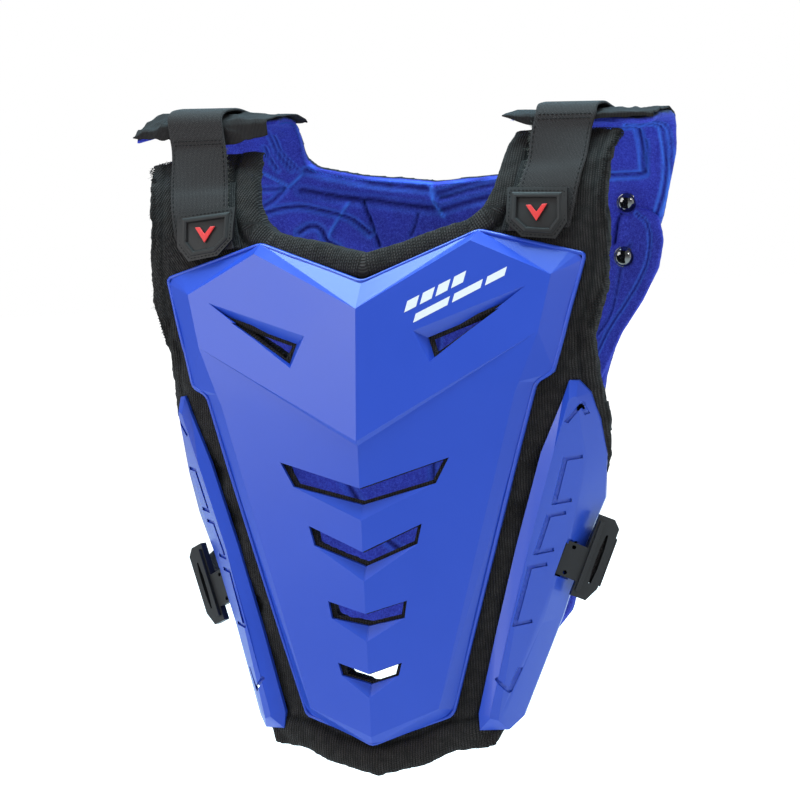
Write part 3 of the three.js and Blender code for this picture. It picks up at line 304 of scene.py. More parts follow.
def moulded_grain():
    """Fine spark-eroded grain and soft cloudiness of moulded plastic."""
    tree, make, given, out = effect(
        "moulded grain",
        [("Place", "Vector", None), ("Grain", "Float", 0.0006), ("Cloud", "Float", 0.06)],
        [("Height", "Float"), ("Cloudiness", "Float"), ("Scuffs", "Float")],
    )
    fine = make.noise(given["Place"], make.math("DIVIDE", 1.0, given["Grain"]), 2.0)
    cloud = make.noise(given["Place"], make.math("DIVIDE", 1.0, given["Cloud"]), 4.0)
    stretched = make.vector("MULTIPLY", given["Place"], (90.0, 90.0, 14.0))
    scratch = make.noise(stretched, 9.0, 5.0, 0.7)
    make.join(fine, out["Height"])
    make.join(cloud, out["Cloudiness"])
    make.join(make.spread(scratch, 0.62, 0.75), out["Scuffs"])
    return tree


def knit_ribs():
    """Ribs of a knit, with stitches along each rib and broken light on them."""
    tree, make, given, out = effect(
        "knit ribs",
        [("Cloth", "Vector", None), ("Rib", "Float", 0.0018), ("Stitch", "Float", 0.0012)],
        [("Height", "Float"), ("Crest", "Float"), ("Lint", "Float")],
    )
    parts = make.add("ShaderNodeSeparateXYZ")
    make.join(given["Cloth"], parts.inputs[0])
    wander = make.noise(given["Cloth"], 160.0, 2.0)
    swing = make.math("MULTIPLY", make.math("SUBTRACT", wander, 0.5), 1.6)
    across = make.math("MULTIPLY", make.math("DIVIDE", parts.outputs[0], given["Rib"]), 2 * math.pi)
    rib = make.spread(make.math("SINE", make.math("ADD", across, swing)), -1.0, 1.0)
    along = make.math("MULTIPLY", make.math("DIVIDE", parts.outputs[1], given["Stitch"]), 2 * math.pi)
    phase = make.math("MULTIPLY", make.math("SINE", make.math("MULTIPLY", across, 0.5)), 1.5)
    stitch = make.spread(make.math("SINE", make.math("ADD", along, phase)), -1.0, 1.0)
    crest = make.math("MULTIPLY", rib, make.spread(stitch, 0.0, 1.0, 0.3, 1.0))
    lint = make.noise(given["Cloth"], 1900.0, 2.0, 0.8)
    make.join(crest, out["Height"])
    make.join(make.math("MULTIPLY", crest, make.spread(wander, 0.3, 0.7, 0.2, 1.15)), out["Crest"])
    make.join(make.spread(lint, 0.5, 0.75), out["Lint"])
    return tree


def webbing_weave():
    """Woven webbing: fine cords along its length crossed by a slanting weft."""
    tree, make, given, out = effect(
        "webbing weave",
        [("Cloth", "Vector", None), ("Cord", "Float", 0.0013), ("Weft", "Float", 0.0011)],
        [("Height", "Float"), ("Thread", "Float"), ("Fuzz", "Float")],
    )
    parts = make.add("ShaderNodeSeparateXYZ")
    make.join(given["Cloth"], parts.inputs[0])
    across = make.math("MULTIPLY", make.math("DIVIDE", parts.outputs[0], given["Cord"]), 2 * math.pi)
    along = make.math("MULTIPLY", make.math("DIVIDE", parts.outputs[1], given["Weft"]), 2 * math.pi)
    cord = make.spread(make.math("SINE", across), -1.0, 1.0)
    slant = make.math("ADD", along, make.math("MULTIPLY", across, 0.5))
    weft = make.spread(make.math("SINE", slant), -1.0, 1.0)
    thread = make.math("MULTIPLY", cord, make.spread(weft, 0.0, 1.0, 0.4, 1.0))
    fuzz = make.noise(given["Cloth"], 1500.0, 3.0, 0.75)
    make.join(thread, out["Height"])
    make.join(thread, out["Thread"])
    make.join(make.spread(fuzz, 0.52, 0.8), out["Fuzz"])
    return tree


def brushed_nap():
    """Brushed nap: speckle of fibre ends and patches where the pile lies another way."""
    tree, make, given, out = effect(
        "brushed nap",
        [("Place", "Vector", None), ("Fibre", "Float", 0.0011), ("Patch", "Float", 0.03)],
        [("Height", "Float"), ("Speckle", "Float"), ("Lay", "Float")],
    )
    fibre = make.noise(given["Place"], make.math("DIVIDE", 1.0, given["Fibre"]), 3.0, 0.7)
    clump = make.noise(given["Place"], make.math("DIVIDE", 0.35, given["Fibre"]), 2.0, 0.6)
    patch = make.noise(given["Place"], make.math("DIVIDE", 1.0, given["Patch"]), 3.0, 0.5)
    both = make.math("ADD", make.math("MULTIPLY", fibre, 0.65), make.math("MULTIPLY", clump, 0.35))
    make.join(both, out["Height"])
    make.join(make.spread(both, 0.42, 0.66), out["Speckle"])
    make.join(make.spread(patch, 0.36, 0.66), out["Lay"])
    return tree


GRAIN = moulded_grain()
KNIT = knit_ribs()
WEBBING = webbing_weave()
NAP = brushed_nap()


def finish_of(name, roughness, **constants):
    """A material with its shader, and the constants on the shader's own sockets."""
    material = bpy.data.materials.new(name)
    material.use_nodes = True
    make = Tree(material.node_tree)
    shader = material.node_tree.nodes["Principled BSDF"]
    shader.inputs["Roughness"].default_value = roughness
    for key, value in constants.items():
        shader.inputs[key.replace("_", " ")].default_value = value
    return material, make, shader


def place(make):
    return make.add("ShaderNodeTexCoord").outputs["Object"]


def cloth(make):
    node = make.add("ShaderNodeAttribute", attribute_name="cloth")
    return node.outputs["Vector"]


def grade(*colour):
    return (*colour, 1.0)


def shell_plastic():
    material, make, shader = finish_of(
        "blue shell plastic", 0.34, Specular_IOR_Level=0.42, Coat_Weight=0.22, Coat_Roughness=0.26,
    )
    grain = make.group(GRAIN, Place=place(make))
    blue = make.blend(grain["Cloudiness"], grade(0.022, 0.07, 0.5), grade(0.026, 0.08, 0.55))
    make.join(blue, shader.inputs["Base Color"])
    make.join(make.spread(grain["Cloudiness"], 0.3, 0.7, 0.28, 0.34), shader.inputs["Roughness"])
    make.join(make.bump(grain["Height"], 0.00004, 0.35), shader.inputs["Normal"])
    return material


def print_white():
    material, make, shader = finish_of("white print", 0.4, Specular_IOR_Level=0.4)
    grain = make.group(GRAIN, Place=place(make))
    make.join(make.blend(grain["Cloudiness"], grade(0.82, 0.84, 0.86), grade(0.9, 0.91, 0.92)),
              shader.inputs["Base Color"])
    make.join(make.bump(grain["Height"], 0.00003, 0.3), shader.inputs["Normal"])
    return material


def knit_fabric():
    material, make, shader = finish_of(
        "black rib knit", 0.92, Specular_IOR_Level=0.2, Sheen_Weight=0.05, Sheen_Roughness=0.5,
    )
    knit = make.group(KNIT, Cloth=cloth(make))
    # Lighter crests and near-black troughs: the knit's own rib pattern, with painted highlight on the crests
    # and painted shade between the ribs.
    body = make.blend(knit["Crest"], grade(0.004, 0.0032, 0.003), grade(0.058, 0.049, 0.046))
    body = make.blend(make.math("MULTIPLY", knit["Lint"], 0.55), body, grade(0.125, 0.108, 0.103))
    # Painted shade: the sunk seam channels along the neck roll, hem and sides are darkened to near black.
    seams = make.add("ShaderNodeAttribute", attribute_name="painted_shade_and_highlight").outputs["Fac"]
    make.join(make.blend(seams, body, grade(0.003, 0.003, 0.003)), shader.inputs["Base Color"])
    make.join(make.bump(knit["Height"], 0.0008, 1.0), shader.inputs["Normal"])
    return material


def strap_webbing():
    material, make, shader = finish_of(
        "charcoal webbing", 0.85, Specular_IOR_Level=0.22, Sheen_Weight=0.04, Sheen_Roughness=0.45,
    )
    weave = make.group(WEBBING, Cloth=cloth(make), Cord=0.0010, Weft=0.0012)
    body = make.blend(weave["Thread"], grade(0.014, 0.012, 0.012), grade(0.066, 0.057, 0.057))
    make.join(make.blend(make.math("MULTIPLY", weave["Fuzz"], 0.65), body, grade(0.19, 0.168, 0.168)),
              shader.inputs["Base Color"])
    make.join(make.bump(weave["Height"], 0.0004, 0.8), shader.inputs["Normal"])
    return material


def stitch_thread(name, colour, light):
    material, make, shader = finish_of(name, 0.8, Specular_IOR_Level=0.15)
    twist = make.noise(place(make), 2200.0, 2.0)
    make.join(make.blend(twist, grade(*colour), grade(*light)), shader.inputs["Base Color"])
    make.join(make.bump(twist, 0.0002, 0.6), shader.inputs["Normal"])
    return material


def fleece_and_lining():
    """Blue fleece towards the wearer and black fabric outside, told apart by the piece."""
    material, make, shader = finish_of(
        "blue fleece and black fabric", 0.95, Specular_IOR_Level=0.15, Sheen_Weight=0.22, Sheen_Roughness=0.4,
    )
    shader.inputs["Sheen Tint"].default_value = grade(0.25, 0.42, 1.0)
    where = place(make)
    nap = make.group(NAP, Place=where, Fibre=0.0007)
    deep = make.blend(nap["Lay"], grade(0.034, 0.034, 0.36), grade(0.042, 0.046, 0.48))
    fleece = make.blend(make.math("MULTIPLY", nap["Speckle"], 0.65), deep, grade(0.1, 0.16, 0.9))
    # Painted highlight: azure light beside the fleece's grooves and on its ridges.
    painted_shade_and_highlight = make.add("ShaderNodeAttribute", attribute_name="painted_crease_highlight").outputs["Fac"]
    fleece = make.blend(painted_shade_and_highlight, fleece, grade(0.07, 0.24, 0.98))
    # Painted shade: the middle of each groove darkened to near black.
    painted_groove_shade = make.add("ShaderNodeAttribute", attribute_name="painted_groove_shade").outputs["Fac"]
    fleece = make.blend(painted_groove_shade, fleece, grade(0.004, 0.005, 0.07))
    grain = make.group(GRAIN, Place=where)
    fabric = make.blend(grain["Height"], grade(0.006, 0.006, 0.006), grade(0.035, 0.034, 0.034))
    outside = make.add("ShaderNodeAttribute", attribute_name="outside").outputs["Fac"]
    make.join(make.blend(outside, fleece, fabric), shader.inputs["Base Color"])
    make.join(make.bump(nap["Height"], 0.0007, 0.7), shader.inputs["Normal"])
    return material


def hook_fabric():
    material, make, shader = finish_of("black hook tape", 0.85, Specular_IOR_Level=0.2)
    weave = make.group(WEBBING, Cloth=cloth(make), Cord=0.0016, Weft=0.0016)
    hooks = make.noise(place(make), 1300.0, 2.0, 0.7)
    body = make.blend(weave["Thread"], grade(0.004, 0.004, 0.004), grade(0.03, 0.029, 0.029))
    make.join(make.blend(make.spread(hooks, 0.55, 0.7), body, grade(0.07, 0.068, 0.068)),
              shader.inputs["Base Color"])
    make.join(make.bump(hooks, 0.0006, 0.9), shader.inputs["Normal"])
    return material


def lining_fabric():
    material, make, shader = finish_of("black lining fabric", 0.88, Specular_IOR_Level=0.2)
    weave = make.group(WEBBING, Cloth=cloth(make), Cord=0.0010, Weft=0.0012)
    body = make.blend(weave["Thread"], grade(0.007, 0.006, 0.006), grade(0.052, 0.045, 0.045))
    make.join(make.blend(make.math("MULTIPLY", weave["Fuzz"], 0.4), body, grade(0.14, 0.122, 0.12)),
              shader.inputs["Base Color"])
    make.join(make.bump(weave["Height"], 0.0003, 0.8), shader.inputs["Normal"])
    return material


def moulded_rubber():
    material, make, shader = finish_of("black moulded rubber", 0.5, Specular_IOR_Level=0.4)
    grain = make.group(GRAIN, Place=place(make), Grain=0.0004)
    make.join(make.blend(grain["Cloudiness"], grade(0.011, 0.0098, 0.0098), grade(0.022, 0.0195, 0.0195)),
              shader.inputs["Base Color"])
    make.join(make.spread(grain["Cloudiness"], 0.3, 0.7, 0.42, 0.56), shader.inputs["Roughness"])
    make.join(make.bump(grain["Height"], 0.00008, 0.5), shader.inputs["Normal"])
    return material


def emblem_rubber():
    material, make, shader = finish_of("red rubber", 0.42, Specular_IOR_Level=0.45)
    grain = make.group(GRAIN, Place=place(make), Grain=0.0004)
    make.join(make.blend(grain["Cloudiness"], grade(0.72, 0.028, 0.03), grade(0.85, 0.05, 0.045)),
              shader.inputs["Base Color"])
    make.join(make.bump(grain["Height"], 0.00006, 0.4), shader.inputs["Normal"])
    return material


def clip_plastic():
    material, make, shader = finish_of("black buckle plastic", 0.45, Specular_IOR_Level=0.45)
    grain = make.group(GRAIN, Place=place(make), Grain=0.0005)
    body = make.blend(grain["Cloudiness"], grade(0.012, 0.012, 0.013), grade(0.024, 0.024, 0.026))
    make.join(make.blend(make.math("MULTIPLY", grain["Scuffs"], 0.3), body, grade(0.08, 0.08, 0.085)),
              shader.inputs["Base Color"])
    make.join(make.bump(grain["Height"], 0.0001, 0.5), shader.inputs["Normal"])
    return material


def rivet_plastic():
    material, make, shader = finish_of(
        "polished black rivet", 0.05, Specular_IOR_Level=1.0,
        Coat_Weight=1.0, Coat_Roughness=0.03, Coat_IOR=2.0,
    )
    grain = make.group(GRAIN, Place=place(make))
    make.join(make.blend(grain["Scuffs"], grade(0.006, 0.006, 0.007), grade(0.02, 0.02, 0.022)),
              shader.inputs["Base Color"])
    make.join(make.spread(grain["Scuffs"], 0.0, 1.0, 0.05, 0.16), shader.inputs["Roughness"])
    return material


SHELL = shell_plastic()
PRINT = print_white()
KNITTED = knit_fabric()
STRAP = strap_webbing()
FLEECE = fleece_and_lining()
HOOKS = hook_fabric()
LINING = lining_fabric()
RUBBER = moulded_rubber()
RED = emblem_rubber()
CLIP = clip_plastic()
RIVET = rivet_plastic()
DARK_THREAD = stitch_thread("black thread", (0.005, 0.005, 0.005), (0.022, 0.021, 0.021))
GREY_THREAD = stitch_thread("grey thread", (0.05, 0.05, 0.05), (0.2, 0.19, 0.16))
BLUE_THREAD = stitch_thread("blue thread", (0.02, 0.06, 0.4), (0.06, 0.16, 0.75))


# Meshes

def set_cloth(mesh, coords):
    """Place of each corner on its flat cloth, in millimetres."""
    attribute = mesh.attributes.new("cloth", "FLOAT_VECTOR", "POINT")
    attribute.data.foreach_set("vector", (np.asarray(coords, float) * MM).ravel())


def make_piece(name, points, faces, material, coords=None, smooth=True):
    """A piece from points in millimetres, riding on the part."""
    mesh = bpy.data.meshes.new(name)
    mesh.from_pydata((np.asarray(points, float) * MM).tolist(), [], faces)
    if coords is not None:
        set_cloth(mesh, coords)
    mesh.materials.append(material)
    mesh.shade_smooth() if smooth else mesh.shade_flat()
    mesh.validate()
    piece = bpy.data.objects.new(name, mesh)
    bpy.context.scene.collection.objects.link(piece)
    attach(piece, "root")
    return piece


def frozen(piece):
    """The piece's modifiers are worked into its mesh."""
    graph = bpy.context.evaluated_depsgraph_get()
    mesh = bpy.data.meshes.new_from_object(piece.evaluated_get(graph))
    piece.modifiers.clear()
    piece.data = mesh
    return piece


def welded(piece):
    """Corners that the solid's facets share are joined."""
    weld = piece.modifiers.new("weld", "WELD")
    weld.merge_threshold = weld_distance * MM


def tube_faces(rings, around, closed_ends=True):
    """Faces between rings of corners, with or without the two end caps."""
    faces = []
    for ring in range(rings - 1):
        for k in range(around):
            l = (k + 1) % around
            a, b = ring * around, (ring + 1) * around
            faces.append((a + k, a + l, b + l, b + k))
    if closed_ends:
        faces.append(tuple(range(around))[::-1])
        faces.append(tuple((rings - 1) * around + k for k in range(around)))
    return faces


def run_along(points):
    """Length along a path at each of its points."""
    return np.concatenate([[0], np.cumsum(np.linalg.norm(np.diff(points, axis=0), axis=1))])


def looked_up(at, run, table):
    """Each column of a table, at lengths along a path."""
    return np.stack([np.interp(at, run, table[:, k]) for k in range(table.shape[1])], axis=-1)


def smooth_path(points, step):
    """A rounded path through points, with even steps."""
    points = np.asarray(points, float)
    padded = np.vstack([2 * points[0] - points[1], points, 2 * points[-1] - points[-2]])
    fine = []
    for k in range(1, len(padded) - 2):
        a, b, c, d = padded[k - 1:k + 3]
        count = max(int(np.linalg.norm(c - b) / step), 2)
        for t in np.linspace(0, 1, count, endpoint=False):
            fine.append(0.5 * ((2 * b) + (c - a) * t + (2 * a - 5 * b + 4 * c - d) * t * t
                               + (3 * b - a - 3 * c + d) * t ** 3))
    fine.append(points[-1])
    fine = np.array(fine)
    run = run_along(fine)
    return looked_up(np.arange(0, run[-1], step), run, fine)


def smooth_straight(points, step):
    """The same path with even steps and its corners kept."""
    points = np.asarray(points, float)
    run = run_along(points)
    return looked_up(np.linspace(0, run[-1], max(int(run[-1] / step), 2)), run, points)


def unit(vectors):
    vectors = np.asarray(vectors, float)
    return vectors / np.maximum(np.linalg.norm(vectors, axis=-1, keepdims=True), 1e-9)


# Moulded pieces keep the part's own solids, with flat facets and rounded edges

def moulded(names, material, width, angle, flat=0.9):
    """Solids of the part with a material, facets within an angle joined and edges rounded."""
    for name in names:
        node = cad_nodes[name]
        node.data.materials.clear()
        node.data.materials.append(material)
        welded(node)
        facets = node.modifiers.new("facets", "DECIMATE")
        facets.decimate_type = "DISSOLVE"
        facets.angle_limit = math.radians(flat)
        bevel = node.modifiers.new("rounded edges", "BEVEL")
        bevel.width = width * MM
        bevel.segments = 3
        bevel.limit_method = "ANGLE"
        bevel.angle_limit = math.radians(angle)
        bevel.use_clamp_overlap = True
        even = node.modifiers.new("even facets", "WEIGHTED_NORMAL")
        even.weight = 100
        node.data.shade_smooth()


moulded(["front_shell"], SHELL, 0.8, 7.0)
moulded(["wing_left", "wing_right"], SHELL, 1.4, 16.0)
moulded(["back_shell"], SHELL, 1.2, 12.0)
moulded(["clip_left", "clip_right"], CLIP, 0.5, 25.0)
moulded(["patch_left", "patch_right"], RUBBER, 0.4, 25.0)
moulded(["emblem_left", "emblem_right"], RED, 0.4, 25.0)


# Lines laid out across a surface

def near_line(line, places):
    """Distance of places from a line, and how far along the line each is."""
    line, places = np.asarray(line, float), np.asarray(places, float)
    best = np.full(len(places), 1e9)
    along = np.zeros(len(places))
    run = run_along(line)
    for k in range(len(line) - 1):
        a, b = line[k], line[k + 1]
        step = b - a
        share = np.clip(((places - a) @ step) / max(step @ step, 1e-9), 0, 1)
        away = np.linalg.norm(places - a - share[:, None] * step, axis=1)
        closer = away < best
        best[closer] = away[closer]
        along[closer] = run[k] + share[closer] * (run[k + 1] - run[k])
    return best, along


def bell(distance, width):
    """One on a line, falling away smoothly over a width."""
    return np.exp(-(distance / width) ** 2)


def ripple(places, length, seed):
    """Smooth wandering between minus one and one, from a few crossed waves."""
    random = np.random.default_rng(seed)
    total = np.zeros(len(places))
    for _ in range(7):
        direction = random.normal(size=places.shape[1])
        direction *= 2 * math.pi / (length * random.uniform(0.6, 1.6)) / np.linalg.norm(direction)
        total += np.sin(places @ direction + random.uniform(0, 2 * math.pi))
    return total / 4.0


# Padded pieces: the pad's own solid, rounded, relaxed and worked

def pad_from(name, source, material, cell, relax=5):
    """A soft piece made from a solid of the part, with small cells and rounded edges."""
    piece = bpy.data.objects.new(name, cad_nodes[source].data.copy())
    bpy.context.scene.collection.objects.link(piece)
    welded(piece)
    remesh = piece.modifiers.new("remesh", "REMESH")
    remesh.mode = "VOXEL"
    remesh.voxel_size = cell * MM
    smooth = piece.modifiers.new("relax", "SMOOTH")
    smooth.iterations = relax
    smooth.factor = 0.5
    frozen(piece)
    piece.data.materials.clear()
    piece.data.materials.append(material)
    piece.data.shade_smooth()
    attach(piece, "root")
    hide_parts(source)
    return piece


def corners_of(mesh):
    points = np.zeros(len(mesh.vertices) * 3)
    mesh.vertices.foreach_get("co", points)
    return points.reshape(-1, 3) / MM


def normals_of(mesh):
    normals = np.zeros(len(mesh.vertices) * 3)
    mesh.vertices.foreach_get("normal", normals)
    return normals.reshape(-1, 3)


def set_corners(mesh, points):
    mesh.vertices.foreach_set("co", (points * MM).ravel())
    mesh.update()


def set_share(mesh, name, values):
    attribute = mesh.attributes.new(name, "FLOAT", "POINT")
    attribute.data.foreach_set("value", np.asarray(values, np.float32))


def both_ways(half):
    """A line over both sides from its right half, which starts at the middle."""
    half = np.asarray(half, float)
    return np.vstack([half[:0:-1] * (-1, 1), half])


def placed(rows, half_width):
    """Shares across and down as places in millimetres."""
    return np.array([(across * half_width, -down * vest_height) for across, down in rows])


neck_line = both_ways(placed(neck_rows, liner_half_width))
hem_line = both_ways(placed(hem_rows, liner_half_width))
side_line = placed(side_rows, liner_half_width)
tab_line = placed(tab_rows, liner_half_width)

chest_pad = pad_from("chest_pad", "front_liner", KNITTED, 2.0)
points = corners_of(chest_pad.data)
normals = normals_of(chest_pad.data)
flat = points[:, [0, 2]]
front_side = np.clip((pad_face(points[:, 0], points[:, 2]) + 5.5 - points[:, 1]) / 3, 0, 1)
neck_away, neck_run = near_line(neck_line, flat)
hem_away, _ = near_line(hem_line, flat)
side_away, _ = near_line(side_line, np.abs(flat) * (1, -1))
roll_width, hem_width = 17.0, 19.0
roll = np.where(neck_away < roll_width, np.sin(math.pi * neck_away / roll_width), 0) ** 0.6
hem = np.where(hem_away < hem_width, np.sin(math.pi * hem_away / hem_width), 0) ** 0.6
# Seams sink the knit into channels; their share also carries the painted shade of those channels.
seam = bell(neck_away - roll_width, 1.6) + 0.7 * bell(hem_away - hem_width, 1.8)
seam += 0.6 * bell(side_away - 9.0, 1.4) * (flat[:, 1] > -205)
upper = np.clip((points[:, 2] + 62) / 20, 0, 1)
lift = 2.6 * roll * (1 - 0.6 * upper) + 3.2 * hem - 1.5 * seam
lift = lift * front_side + 0.7 * ripple(points, 34.0, 3) + 0.35 * ripple(points, 9.0, 4)
ragged = bell(side_away, 3.0) * ripple(points, 7.0, 5) * 0.8
ragged += bell(hem_away, 3.0) * ripple(points, 7.0, 6) * 0.3
set_corners(chest_pad.data, points + normals * (lift + ragged)[:, None])
slant = np.where(points[:, 0] < 0, math.radians(28), math.radians(3))
turn = np.clip((points[:, 2] + 120) / 60, 0, 1) * slant
coords = np.stack([
    points[:, 0] * np.cos(turn) - points[:, 2] * np.sin(turn),
    points[:, 0] * np.sin(turn) + points[:, 2] * np.cos(turn),
    points[:, 1] * 0,
], axis=1)
rolled = (neck_away < roll_width) & (points[:, 2] < -56)
coords[rolled] = np.stack([neck_run, neck_away + points[:, 1], 0 * neck_run], axis=1)[rolled]
set_cloth(chest_pad.data, coords)
# Painted shade along the sunk seam channels, read by the knit's colour.
set_share(chest_pad.data, "painted_shade_and_highlight", np.clip(seam, 0, 1))


# Back: fleece towards the wearer, worked with channels and creases

grid_x, grid_row = np.meshgrid(np.linspace(-196, 196, 132), np.linspace(-0.3, 13.2, 300))
grid_place = back_point(grid_x, grid_row, 0.0)
grid_out = unit(back_point(grid_x, grid_row, 1.0) - grid_place)
grid_across = back_point(grid_x + 0.5, grid_row, 0.0) - back_point(grid_x - 0.5, grid_row, 0.0)
grid_down = 10 * (back_point(grid_x, grid_row + 0.05, 0.0) - back_point(grid_x, grid_row - 0.05, 0.0))
grid_tree = KDTree(grid_x.size)
for index, corner in enumerate(grid_place.reshape(-1, 3)):
    grid_tree.insert(corner, index)
grid_tree.balance()
row_steps = np.arange(0, 13.6, 0.1)
row_places = back_point(0.0, row_steps, 0.0)
row_run = run_along(row_places)
least_square = 1e-6


def run_of(rows):
    """Length down the back at a row."""
    return np.interp(rows, row_steps, row_run)


def back_coords(points):
    """Across, row, height and outward direction of points, in the layout of the back."""
    found = np.array([grid_tree.find(p)[1] for p in points])
    away = points - grid_place.reshape(-1, 3)[found]
    out, sideways, down = (grid.reshape(-1, 3)[found] for grid in (grid_out, grid_across, grid_down))

    def along(direction):
        square = np.einsum("ij,ij->i", direction, direction)
        return np.einsum("ij,ij->i", away, direction) / np.maximum(square, least_square)

    return grid_x.ravel()[found] + along(sideways), grid_row.ravel()[found] + along(down), along(out), out


def worked(mesh, across, rows, out, share, lines):
    """Grooves and ridges along lines, with a painted highlight beside each groove and on each ridge, and
    painted shade in the middle of each groove.
    """
    places = np.stack([across, run_of(rows)], axis=1)
    points = corners_of(mesh)
    painted_crease_highlight, groove, sink = np.zeros((3, len(points)))
    for depth, width, bright, line in lines:
        line = smooth_path([(x, float(run_of(row))) for x, row in line], 3.0)
        away, _ = near_line(line, places)
        sink += depth * bell(away, width) - 0.35 * depth * bell(away - 2.2 * width, width)
        if depth > 0:
            # Painted shade in the middle of each groove, stronger for deeper grooves.
            groove = np.maximum(groove, bell(away, 0.45 * width) * min(depth / 2.2, 1))
            # Painted highlight beside the groove, at its rim.
            painted_crease_highlight = np.maximum(painted_crease_highlight, bright * bell(away - 1.25 * width, 0.55 * width))
        else:
            # Painted highlight along the top of a ridge.
            painted_crease_highlight = np.maximum(painted_crease_highlight, bright * bell(away, 0.6 * width))
    set_corners(mesh, points + out * (sink * share)[:, None])
    set_share(mesh, "painted_crease_highlight", painted_crease_highlight * share)
    set_share(mesh, "painted_groove_shade", groove * share * 0.85)


def tab_reach(share):
    """Distance from the middle of a place across a shoulder tab, in millimetres."""
    return (tab_start + tab_span * np.asarray(share)) * back_half_width


def tab_sag(sign, share, row):
    """How far the left tab's outer corner hangs down, easing off down the back."""
    sag = np.interp(share, (0.6, 0.75, 1.0), (0.0, 3.0, 11.0)) * (sign < 0)
    return sag * np.clip(1 - row / 2.2, 0, 1)


back_pad = pad_from("back_pad", "back_liner", FLEECE, 1.8)
points = corners_of(back_pad.data)
across, rows, height, out = back_coords(points)
thickness = tab_thickness + (back_pad_thickness - tab_thickness) * np.clip((rows - 3) / 4, 0, 1)
inside = np.clip((thickness * 0.5 - height) / 2, 0, 1)
cushion = 0.8 * ripple(points, 42.0, 11) + 0.3 * ripple(points, 10.0, 12)
moved = points + out * (cushion - 1.2 * inside * (rows > 7.4))[:, None]
tab_share = (np.abs(across) / back_half_width - tab_start) / tab_span
hang = tab_sag(-1, tab_share, rows)
hang += 8 * bell(tab_share - 0.8, 0.12) * bell(rows - 1.6, 1.1) * inside
moved[:, 2] -= hang * (across < 0)
set_corners(back_pad.data, moved)
worked(back_pad.data, across, rows, out, inside, back_lines)
set_share(back_pad.data, "outside", np.clip((height - thickness * 0.55) / 1.0, 0, 1))

for side, sign in SIDES:
    flap = pad_from(f"armhole_flap_{side}", f"flap_{side}", FLEECE, 1.6)
    points = corners_of(flap.data)
    across, rows, height, out = back_coords(points)
    inside = np.clip((-4.3 - height) / 1.5, 0, 1)
    set_corners(flap.data, points + out * (0.4 * ripple(points, 18.0, 21) * inside)[:, None])
    mirrored = [(depth, width, bright, [(sign * x, row) for x, row in line])
                for depth, width, bright, line in flap_lines]
    worked(flap.data, across, rows, out, inside, mirrored)
    set_share(flap.data, "outside", np.zeros(len(points)))


# Ribbons of webbing and tape

def ribbon(name, inner, outer, lift, thickness, material, slot, replaces=None, wave=0.25, seed=1):
    """Woven ribbon between two edges, with rounded selvedges, lying on its underside."""
    inner, outer, lift = (np.asarray(v, float) for v in (inner, outer, lift))
    lift = unit(lift)
    run = run_along((inner + outer) / 2)
    width = np.linalg.norm(outer - inner, axis=1)
    shares = np.concatenate([[0.0, 0.006], np.linspace(0.03, 0.97, 15), [0.994, 1.0]])
    puff = np.array([0.35, 0.8] + [1.0] * 15 + [0.8, 0.35])
    sway = ripple(np.stack([run, run * 0], axis=1), 40.0, seed) * wave
    rings, coords = [], []
    for k in range(len(inner)):
        across_here = outer[k] - inner[k]
        spine = inner[k] + shares[:, None] * across_here + unit(across_here) * sway[k]
        middle = spine + lift[k] * thickness / 2
        above = middle + lift[k] * (puff * thickness / 2)[:, None]
        below = middle - lift[k] * (puff * thickness / 2)[:, None]
        rings.append(np.vstack([above, below[::-1]]))
        place_across = np.concatenate([shares, shares[::-1]]) * width[k]
        coords.append(np.stack([place_across, np.full(len(place_across), run[k]), 0 * place_across], axis=1))
    count = len(shares) * 2
    piece = make_piece(name, np.vstack(rings), tube_faces(len(rings), count), material, np.vstack(coords))
    if replaces:
        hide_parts(replaces)
    return piece


def strap_centre(k):
    """Middle of a shoulder strap at a station, moving outwards on its way up."""
    return strap_low + (strap_high - strap_low) * min((k / strap_last) * 1.6, 1)


def strap_edges(sign):
    """Underside edges and lift of a shoulder strap, from the patch to the back's tab."""
    inner, outer, lift = [], [], []
    half = strap_width / 2
    for k, down in enumerate(strap_low_rows):
        z, centre = -down * vest_height, strap_centre(k)
        for edges, x in ((inner, centre - half), (outer, centre + half)):
            edges.append((sign * x, float(pad_face(x, z)) - 2 * pad_gap - tape_thickness, z))
        lift.append((0, -1, 0))
    path = np.array(strap_high_rows) * (strap_reach, strap_rise)
    for k, (y, up) in enumerate(path):
        centre = strap_centre(len(strap_low_rows) + k)
        along = unit(path[min(k + 1, len(path) - 1)] - path[max(k - 1, 0)])
        blend = min((k + 1) / 3, 1)
        for edges, x in ((inner, centre - half), (outer, centre + half)):
            edges.append((sign * x, y, up - blend * sign * x * math.tan(back_roll)))
        lift.append((0, -along[1], along[0]))
    return [smooth_path(np.hstack([inner, outer, lift]), 2.0)[:, i:i + 3] for i in (0, 3, 6)]


def tape_edges(sign):
    """Edges and lift of the tape between the chest pad and a shoulder strap."""
    inner, outer = [], []
    for k, down in enumerate(strap_low_rows):
        z, centre = -down * vest_height, strap_centre(k) - tape_shift
        for edges, x in ((inner, centre - tape_width / 2), (outer, centre + tape_width / 2)):
            edges.append((sign * x, float(pad_face(x, z)) - pad_gap, z))
    rows = smooth_path(np.hstack([inner, outer]), 2.0)
    return rows[:, :3], rows[:, 3:], np.tile((0.0, -1.0, 0.0), (len(rows), 1))


